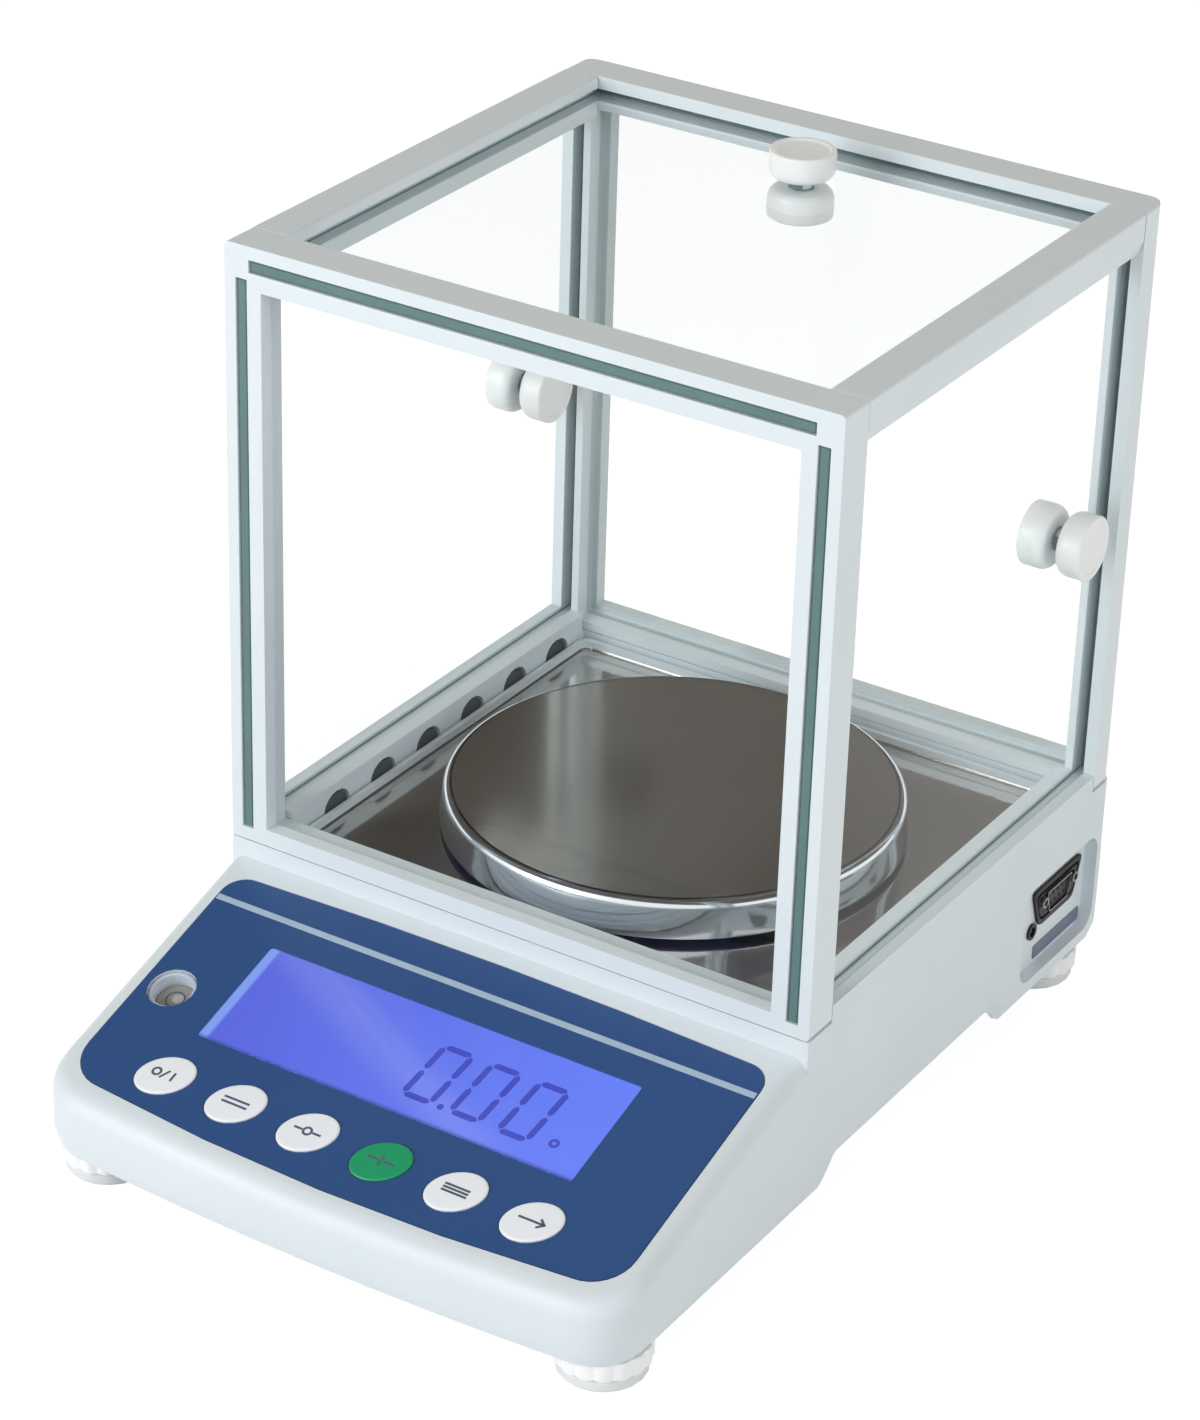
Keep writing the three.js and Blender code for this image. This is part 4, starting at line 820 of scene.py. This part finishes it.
def backlitPanel():
    material, tree, shader = newMaterial("backlitPanel", {
        "IOR": lcd["ior"], "Roughness": lcd["rough"], "Base Color": linear(lcd["unlit"]),
        "Emission Strength": lcd["strength"],
    })
    low, high = consoleBox("display_window")
    middle = consolePlace.translation
    place = addNode(tree, "ShaderNodeTexCoord").outputs["Object"]
    split = addNode(tree, "ShaderNodeSeparateXYZ", {"Vector": place}).outputs
    across = addNode(tree, "ShaderNodeMapRange", {"Value": split["X"], "From Min": low.x, "From Max": high.x})
    cloud = addNode(tree, "ShaderNodeTexNoise",
                    {"Vector": place, "Scale": perGrain(lcd["cloud"]), "Detail": 1})
    uneven = addNode(tree, "ShaderNodeMath", {0: cloud, 1: lcd["uneven"], 2: across},
                     operation="MULTIPLY_ADD")
    a, b = Vector(lcd["paintedReflectionFrom"]) * mm, Vector(lcd["paintedReflectionTo"]) * mm
    side = Vector((a.y - b.y, b.x - a.x)).normalized()
    askew = Vector((1, 0, 0)) * side.x + upSlope * side.y
    offset = middle.dot(askew) + a.dot(side)
    width, wallGlowFrom, wallGlowFade, paintedShadeWidth = metres(lcd, "paintedReflectionWidth", "wallGlowFrom", "wallGlowFade", "paintedShadeWidth")
    # A painted reflection: a faint bright streak between two parallel lines across the panel
    paintedReflection = addNode(tree, "ShaderNodeMath", {
        0: fadeAlong(tree, place, askew, offset, width), 1: fadeAlong(tree, place, -askew, -offset, width),
    }, operation="MULTIPLY")
    paintedReflectionAmount = addNode(tree, "ShaderNodeMath", {0: paintedReflection, 1: lcd["paintedReflectionShare"]}, operation="MULTIPLY")
    # Painted light along the left wall, where the backlight lights the window's wall, and painted shade along
    # the lower edge
    wall = fadeAlong(tree, place, (1, 0, 0), low.x + wallGlowFrom, wallGlowFade)
    edge = fadeAlong(tree, place, upSlope, middle.dot(upSlope) + low.y, paintedShadeWidth)
    colour = linear(lcd["faceLeft"])
    for share, key in ((uneven, "face"), (paintedReflectionAmount, "paintedReflection"), (wall, "wall"), (edge, "shade")):
        colour = addNode(tree, "ShaderNodeMix", {"Factor": share, "A": colour, "B": linear(lcd[key])},
                         data_type="RGBA")
    feed(shader, {"Emission Color": colour})
    return material


finishes["panel"] = backlitPanel()
finishes["segment"] = newMaterial("displaySegment", {
    "Base Color": linear(darker(lcd["segment"], lcd["segmentUnlit"])), "Roughness": lcd["segmentRough"],
    "IOR": lcd["ior"],
    "Emission Color": linear(lcd["segment"]), "Emission Strength": lcd["segmentStrength"],
})[0]

# Digits of the display: places from the console's middle and from the line at the deck
digits = {
    "count": 3, "left": 0.2, "right": 41.8, "top": 35.6, "bottom": 56.2, "stroke": 1.9, "gap": 0.3,
    "width": 10.8, "lean": 0.08, "dot": 1.0, "dotSteps": 16, "thickness": 0.04, "unitX": 48.2, "unitY": 53.0,
    "unitRadius": 1.1, "unitStroke": 0.9, "unitSteps": 32,
}


# One bar of a digit: a long hexagon from one end to the other
def barOutline(start, end, stroke, gap):
    a, b = Vector(start), Vector(end)
    along = (b - a).normalized()
    across = Vector((-along.y, along.x)) * stroke / 2
    a, b = a + along * gap, b - along * gap
    tip = along * stroke / 2
    return [a, a + tip - across, b - tip - across, b, b - tip + across, a + tip + across]


def displayDigits(face):
    left, right, top, bottom, stroke, gap, width, dot, thick = metres(
        digits, "left", "right", "top", "bottom", "stroke", "gap", "width", "dot", "thickness")
    pitch = (right - left - width) / (digits["count"] - 1)
    dotX = left + (width + pitch) / 2
    top, bottom = -top - stroke / 2, stroke / 2 - bottom
    middle = (top + bottom) / 2
    parts = []
    for i in range(digits["count"]):
        a = left + stroke / 2 + i * pitch
        b = a + width - stroke
        for start, end in (((a, top), (b, top)), ((a, bottom), (b, bottom)), ((a, middle), (a, top)),
                           ((b, middle), (b, top)), ((a, bottom), (a, middle)), ((b, bottom), (b, middle))):
            upright = barOutline(start, end, stroke, gap)
            bar = [Vector((x + (y - bottom) * digits["lean"], y)) for x, y in upright]
            parts.append(slabPart(bar, 0, thick, "segment", atConsole(0, 0, face)))
    dotOutline = ovalOutline(dot, dot, digits["dotSteps"])
    parts.append(slabPart(dotOutline, 0, thick, "segment", atConsole(dotX, bottom, face)))
    x, y, radius, unitStroke = metres(digits, "unitX", "unitY", "unitRadius", "unitStroke")
    parts.append(ringPart(radius, unitStroke / 2, 0, thick, digits["unitSteps"], "segment",
                          atConsole(x, -y, face)))
    return parts


# A piece that hardly shows stays the solid itself, in its own finish
def painted(node, finish):
    nodes[node].data.materials.clear()
    nodes[node].data.materials.append(finishes[finish])


def displayPieces():
    painted("lcd_module", "black")
    low, high = consoleBox("display_window")
    middle, half = (low + high) / 2, (high - low) / 2
    film, gap, corner = metres(lcd, "film", "gap", "corner")
    face = low.z - gap
    outline = softened(boxOutline(half.x + touchGap, half.y + touchGap), corner, closed=True)
    panel = slabPart(outline, face - film, face, "panel", atConsole(middle.x, middle.y))
    attach(buildPiece("lit_film", [panel] + displayDigits(face)), "lcd_module")
    dressed("display_window", "window", bevel=0.15)


displayPieces()
print("display finished")


# A plain sign is printed on each key: bars from point to point, and rings with their middle and radius
signs = {
    1: [("ring", -2.7, 0, 1.2), ("bar", -0.7, -1.3, 0.7, 1.3), ("bar", 2.7, -1.2, 2.7, 1.2)],
    2: [("bar", -3.8, 0.8, 3.8, 0.8), ("bar", -3.8, -0.8, 3.8, -0.8)],
    3: [("bar", -4.0, 0, -2.0, 0), ("ring", 0, 0, 1.2), ("bar", 2.0, 0, 4.0, 0)],
    4: [("bar", -4.0, 0, -1.1, 0), ("bar", 1.1, 0, 4.0, 0), ("bar", 0, -1.5, 0, 1.5)],
    5: [("bar", -3.6, 1.1, 3.6, 1.1), ("bar", -3.6, 0, 3.6, 0), ("bar", -3.6, -1.1, 3.6, -1.1)],
    6: [("bar", -3.8, 0, 3.8, 0), ("bar", 2.3, 1.3, 3.8, 0), ("bar", 2.3, -1.3, 3.8, 0)],
}
signInk = {"stroke": 0.7, "height": 0.04, "corner": 0.2, "ringSteps": 32}


def signPart(place, kind, a, b, c, d=0):
    stroke, ink, corner = metres(signInk, "stroke", "height", "corner")
    if kind == "ring":
        centre = place @ Matrix.Translation((a * mm, b * mm, 0))
        return ringPart(c * mm, stroke / 2, -ink, ink, signInk["ringSteps"], "darkInk", centre)
    start, end = Vector((a, b)) * mm, Vector((c, d)) * mm
    along = (end - start).normalized() * stroke / 2
    across = Vector((-along.y, along.x))
    outline = [start - along - across, end + along - across, end + along + across, start - along + across]
    return slabPart(softened(outline, corner, closed=True), -ink, ink, "darkInk", place)


def keyPiece(i):
    node = f"key_{i}"
    low, high = consoleBox(node)
    middle, half = (low + high) / 2, (high - low) / 2
    place = atConsole(middle.x, middle.y)
    foilTop = consoleBox("keypad_overlay")[1].z
    halfLong, halfShort, plate, rim, crown, bodyDepth, flangeTop, flange, stem = metres(
        keys, "halfLong", "halfShort", "plate", "rim", "crown", "bodyDepth", "flangeTop", "flange", "stem")
    finish = "greenKey" if i == keys["green"] else "whiteKey"
    shoulder, steps = high.z - crown, keys["crownSteps"]
    body = ovalOutline(keys["body"][0] * mm, keys["body"][1] * mm, keys["steps"])
    cap = leaningOval(halfLong, halfShort)
    layers = [(body, foilTop - bodyDepth), (body, foilTop - plate), (cap, foilTop - plate), (cap, shoulder)]
    for j in range(1, steps + 1):
        a = math.pi / 2 * j / steps
        inset, rise = rim * (1 - math.cos(a)), crown * keys["rimRise"] * math.sin(a)
        layers.append((leaningOval(halfLong - inset, halfShort - inset), shoulder + rise))
    layers += [(leaningOval((halfLong - rim) * share, (halfShort - rim) * share), high.z - depth * mm)
               for share, depth in keys["top"]]
    parts = [
        layeredPart(layers, finish, place),
        slabPart(ovalOutline(half.x, half.y, keys["steps"]), -flangeTop - flange, -flangeTop, finish, place),
        pegPart(stem, low.z, -flangeTop, keys["stemSteps"], finish, place),
    ]
    parts += [signPart(atConsole(middle.x, middle.y, high.z), *sign) for sign in signs[i]]
    settle(buildPiece(node + "_cap", parts, sharp=keys["sharp"]), node)


for i in range(1, keys["count"] + 1):
    keyPiece(i)
print("keys finished")


# Level: a white cup with a vial on its floor, seen through a clear lens. A ring is printed on the vial, and
# the bubble stands a little off its middle. The bubble's dome has shares of its radius, each with a height.
level = {
    "cupWall": 1.0, "gap": 0.1, "vial": 5.7, "vialHeight": 1.7, "edge": 0.5, "steps": 48, "ring": 2.7,
    "ringWidth": 0.4, "thickness": 0.06, "bubble": 1.7, "bubbleOff": (0.6, 0.5),
    "dome": ((1, 0), (0.8, 0.18), (0, 0.3)), "domeSteps": 32,
}


def levelPieces():
    dressed("level_cup", "abs", bevel=0.15)
    dressed("level_lens", "window", bevel=0.15)
    low, high = consoleBox("level_cup")
    place = atConsole((low.x + high.x) / 2, (low.y + high.y) / 2)
    wall, gap, r, height, edge, ring, width, thin, bubble = metres(
        level, "cupWall", "gap", "vial", "vialHeight", "edge", "ring", "ringWidth", "thickness", "bubble")
    floor = low.z + wall + gap
    top, steps = floor + height, level["steps"]
    outline = [(0, floor), (r, floor), (r, top - edge), (r - edge, top), (0, top)]
    vial = turnedPart(outline, steps, "vial", place)
    printed = ringPart(ring, width / 2, top, top + thin, steps, "darkInk", place)
    off = place @ Matrix.Translation([v * mm for v in level["bubbleOff"]] + [0])
    profile = [(0, top)] + [(bubble * share, top + rise * mm) for share, rise in level["dome"]]
    dome = turnedPart(profile, level["domeSteps"], "bubble", off)
    attach(buildPiece("level_vial", [vial, printed, dome]), "level_cup")


levelPieces()
print("level finished")


# Nine-pin socket: a plated shell round the insulator, gold contacts in two rows and two hexagonal posts. A
# post's rim has shares of its reach and height, and its bore goes down to a share of its height.
serial = {
    "halfWide": 7.8, "halfHigh": 3.8, "slant": 14, "corner": 1.2, "cornerSteps": 5, "wall": 0.45,
    "proud": 0.7, "pitch": 2.77, "row": 2.84,
    "rows": (("upper_contacts", 5, 0.5), ("lower_contacts", 4, -0.5)),
    "contact": 0.4, "contactDepth": 2.2, "contactSunk": 0.5, "contactSteps": 20, "hexPlace": 9.4,
    "hexRise": 1.2, "hex": 1.9, "hexProud": 1.2, "hexRim": (0.88, 0.85), "hexHole": 1.0, "hexBore": 0.3,
    "hexSteps": 48,
}


def shellOutline(inset):
    wide, high = serial["halfWide"] - inset, serial["halfHigh"] - inset
    low = wide - 2 * high * math.tan(serial["slant"] * degree)
    corners = [Vector(point) * mm for point in ((-low, -high), (low, -high), (wide, high), (-wide, high))]
    return softened(corners, (serial["corner"] - inset) * mm, serial["cornerSteps"], closed=True)


def hexOutline(reach, steps):
    points, half = [], math.pi / 6
    for a in anglesRound(steps):
        r = reach / math.cos((a + half) % (2 * half) - half) * math.cos(half)
        points.append(Vector((r * math.cos(a), r * math.sin(a))))
    return points


def socketPieces():
    for node in ("serial_port", "power_jack"):
        dressed(node, "black", bevel=0.12)
    low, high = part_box("serial_port")
    middle = Vector((high.x, (low.y + high.y) / 2, (low.z + high.z) / 2))
    proud, hexProud, hole, hexReach, hexPlace, hexRise, contact, depth, sunk, pitch, row = metres(
        serial, "proud", "hexProud", "hexHole", "hex", "hexPlace", "hexRise", "contact", "contactDepth",
        "contactSunk", "pitch", "row")
    outer, inner = shellOutline(0), shellOutline(serial["wall"])
    shell = layeredPart([(outer, 0), (outer, proud), (inner, proud), (inner, 0)], "nickel",
                        Matrix.Translation(middle) @ acrossX, closed=True)
    attach(buildPiece("serial_shell", [shell]), "serial_port")
    steps, (rimReach, rimHeight) = serial["hexSteps"], serial["hexRim"]
    side, rim = hexOutline(hexReach, steps), hexOutline(hexReach * rimReach, steps)
    bore = ovalOutline(hole, hole, steps)
    post = layeredPart([(side, 0), (side, hexProud * rimHeight), (rim, hexProud), (bore, hexProud),
                        (bore, hexProud * serial["hexBore"])], "nickel", acrossX)
    start = (middle.x, middle.y - hexPlace, middle.z + hexRise)
    attach(rowsOf("serial_posts", post, start, 2, (0, 2 * hexPlace, 0)), "serial_port")
    pin = pegPart(contact, -sunk - depth, -sunk, serial["contactSteps"], "gold", acrossX)
    for name, count, rowPlace in serial["rows"]:
        start = (middle.x, middle.y - (count - 1) / 2 * pitch, middle.z + rowPlace * row)
        attach(rowsOf(name, pin, start, count, (0, pitch, 0)), "serial_port")


socketPieces()

# Bare strip on the wall of the recess under the sockets
strip = {"front": 100, "back": 129, "low": 17.2, "high": 21.6, "corner": 0.8, "thick": 0.3, "wallBack": 1.1}


def recessStrip():
    front, back, low, high, corner, thick, wallBack = metres(
        strip, "front", "back", "low", "high", "corner", "thick", "wallBack")
    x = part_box("serial_port")[1].x - wallBack
    place = Matrix.Translation((x, (front + back) / 2, (low + high) / 2)) @ acrossX
    outline = softened(boxOutline((back - front) / 2, (high - low) / 2), corner, closed=True)
    attach(buildPiece("recess_strip", [slabPart(outline, 0, thick, "recessBand", place)]), "top_housing")


recessStrip()
print("sockets finished")

for side in ("front_left", "front_right", "rear_left", "rear_right"):
    dressed(f"foot_wheel_{side}", "nylon", bevel=0.3)
    dressed(f"foot_pad_{side}", "rubber", bevel=0.3)
print("feet finished")

for node, finish in (
    ("pan_carrier", "aluminium"), ("load_cell", "aluminium"), ("load_cell_spacer", "aluminium"),
    ("overload_stop", "plated"), ("display_board", "board"), ("main_board", "board"),
    ("socket_board", "board"),
):
    painted(node, finish)
print("inner pieces finished")


# Floor and dim ceiling, with sizes in metres, and the world
stageLook = {
    "floorSize": 9, "floorColour": "#F2F2F2", "floorRough": 0.9, "floorShare": 0.7, "floorWhite": 1.28,
    "worldStrength": 0.55, "ceilingHeight": 1.5, "ceilingSize": 9, "ceilingMiddle": (-2.06, 3.31),
    "ceilingColour": "#8A8074", "ceilingStrength": 1.3, "ceilingMirror": 0.27,
}
white = (1, 1, 1, 1)


def flatStage(name, size, height, material, middle=(0, 0)):
    mesh = bpy.data.meshes.new(name)
    corners = [(middle[0] + x, middle[1] + y, height) for x, y in boxOutline(size / 2, size / 2)]
    mesh.from_pydata(corners, [], [(0, 1, 2, 3)])
    mesh.materials.append(material)
    sheet = placed(name, mesh)
    return sheet


# One where the eye, metal or glass looks at the room, and nothing where the room lights the scale
def roomIsSeen(tree):
    path = addNode(tree, "ShaderNodeLightPath").outputs
    seen = addNode(tree, "ShaderNodeMath", {0: path["Is Camera Ray"], 1: path["Is Glossy Ray"]},
                   operation="MAXIMUM")
    return addNode(tree, "ShaderNodeMath", {0: seen, 1: path["Is Transmission Ray"]}, operation="MAXIMUM")


# The floor shows white to the eye, to metal and to glass, and keeps part of its shading for the shadow
def paleFloor():
    material, tree, shader = newMaterial("paleFloor", {
        "Base Color": linear(stageLook["floorColour"]), "Roughness": stageLook["floorRough"],
        "Specular IOR Level": 0,
    })
    share = addNode(tree, "ShaderNodeMath", {0: roomIsSeen(tree), 1: stageLook["floorShare"]},
                    operation="MULTIPLY")
    glow = addNode(tree, "ShaderNodeEmission", {"Color": white, "Strength": stageLook["floorWhite"]})
    blend = addNode(tree, "ShaderNodeMixShader", {"Fac": share, 1: shader, 2: glow})
    feed(tree.nodes["Material Output"], {"Surface": blend})
    return material


# The ceiling lights the scale from above, and shows dimmer in metal and glass. It stays behind the scale,
# so that upright metal mirrors the white room in front.
def dimCeiling():
    material, tree, shader = newMaterial("dimCeiling", {})
    tree.nodes.remove(shader)
    strength = addNode(tree, "ShaderNodeMapRange", {
        "Value": addNode(tree, "ShaderNodeLightPath").outputs["Is Glossy Ray"],
        "To Min": stageLook["ceilingStrength"], "To Max": stageLook["ceilingMirror"],
    })
    feed(tree.nodes["Material Output"], {"Surface": addNode(tree, "ShaderNodeEmission", {
        "Color": linear(stageLook["ceilingColour"]), "Strength": strength,
    })})
    return material


flatStage("floor", stageLook["floorSize"], 0, paleFloor())
ceiling = flatStage("ceiling", stageLook["ceilingSize"], stageLook["ceilingHeight"], dimCeiling(),
                    stageLook["ceilingMiddle"])
ceiling.visible_camera = False
ceiling.visible_transmission = False
ceiling.visible_shadow = False


def plainWorld():
    world = bpy.data.worlds.new("studio")
    bpy.context.scene.world = world
    world.use_nodes = True
    tree = world.node_tree
    tree.nodes.clear()
    strength = addNode(tree, "ShaderNodeMapRange",
                       {"Value": roomIsSeen(tree), "To Min": stageLook["worldStrength"], "To Max": 1})
    glow = addNode(tree, "ShaderNodeBackground", {"Color": white, "Strength": strength})
    addNode(tree, "ShaderNodeOutputWorld", {"Surface": glow})


plainWorld()


# The way from the scale to a place that many degrees round it and above the table
def outwards(aroundScale, aboveTable):
    a, e = aroundScale * degree, aboveTable * degree
    return Vector((math.sin(a) * math.cos(e), -math.cos(a) * math.cos(e), math.sin(e)))


# Lamps stand round the scale: degrees round it and above the table, metres away and across, watts
lamps = {
    "keyLamp": {"round": -28, "above": 20, "away": 1.9, "size": 1.1, "power": 20, "mirrored": True},
    "sideLamp": {"round": 78, "above": 28, "away": 2.1, "size": 1.2, "power": 11.8, "mirrored": False},
    "backLamp": {"round": 205, "above": 32, "away": 2.1, "size": 1.3, "power": 11, "mirrored": False},
}
lampTarget = Vector((0, 0, 0.12))

for name, lamp in lamps.items():
    data = bpy.data.lights.new(name, "AREA")
    data.size = lamp["size"]
    data.energy = lamp["power"]
    light = placed(name, data)
    away = outwards(lamp["round"], lamp["above"])
    light.location = lampTarget + away * lamp["away"]
    light.rotation_mode = "QUATERNION"
    light.rotation_quaternion = away.to_track_quat("Z", "Y")
    light.visible_glossy = lamp["mirrored"]

# Camera: degrees round the scale, above the table and of roll; millimetres for the rest
eye = {
    "round": 31.9, "above": 28.44, "roll": 1.783, "away": 1131.1, "target": (26.84, -41.5, 142.89),
    "lens": 109.05, "sensor": 36,
}


def makeCamera():
    back = outwards(eye["round"], eye["above"])
    right = outwards(eye["round"] + 90, 0)
    up = back.cross(right)
    roll = eye["roll"] * degree
    right, up = right * math.cos(roll) + up * math.sin(roll), up * math.cos(roll) - right * math.sin(roll)
    data = bpy.data.cameras.new("camera")
    data.lens = eye["lens"]
    data.sensor_width = eye["sensor"]
    camera = placed("camera", data)
    place = Matrix((right, up, back)).transposed().to_4x4()
    place.translation = Vector(eye["target"]) * mm + back * eye["away"] * mm
    camera.matrix_world = place
    bpy.context.scene.camera = camera


makeCamera()
bpy.context.scene.view_settings.view_transform = "Standard"
print("light and camera placed")
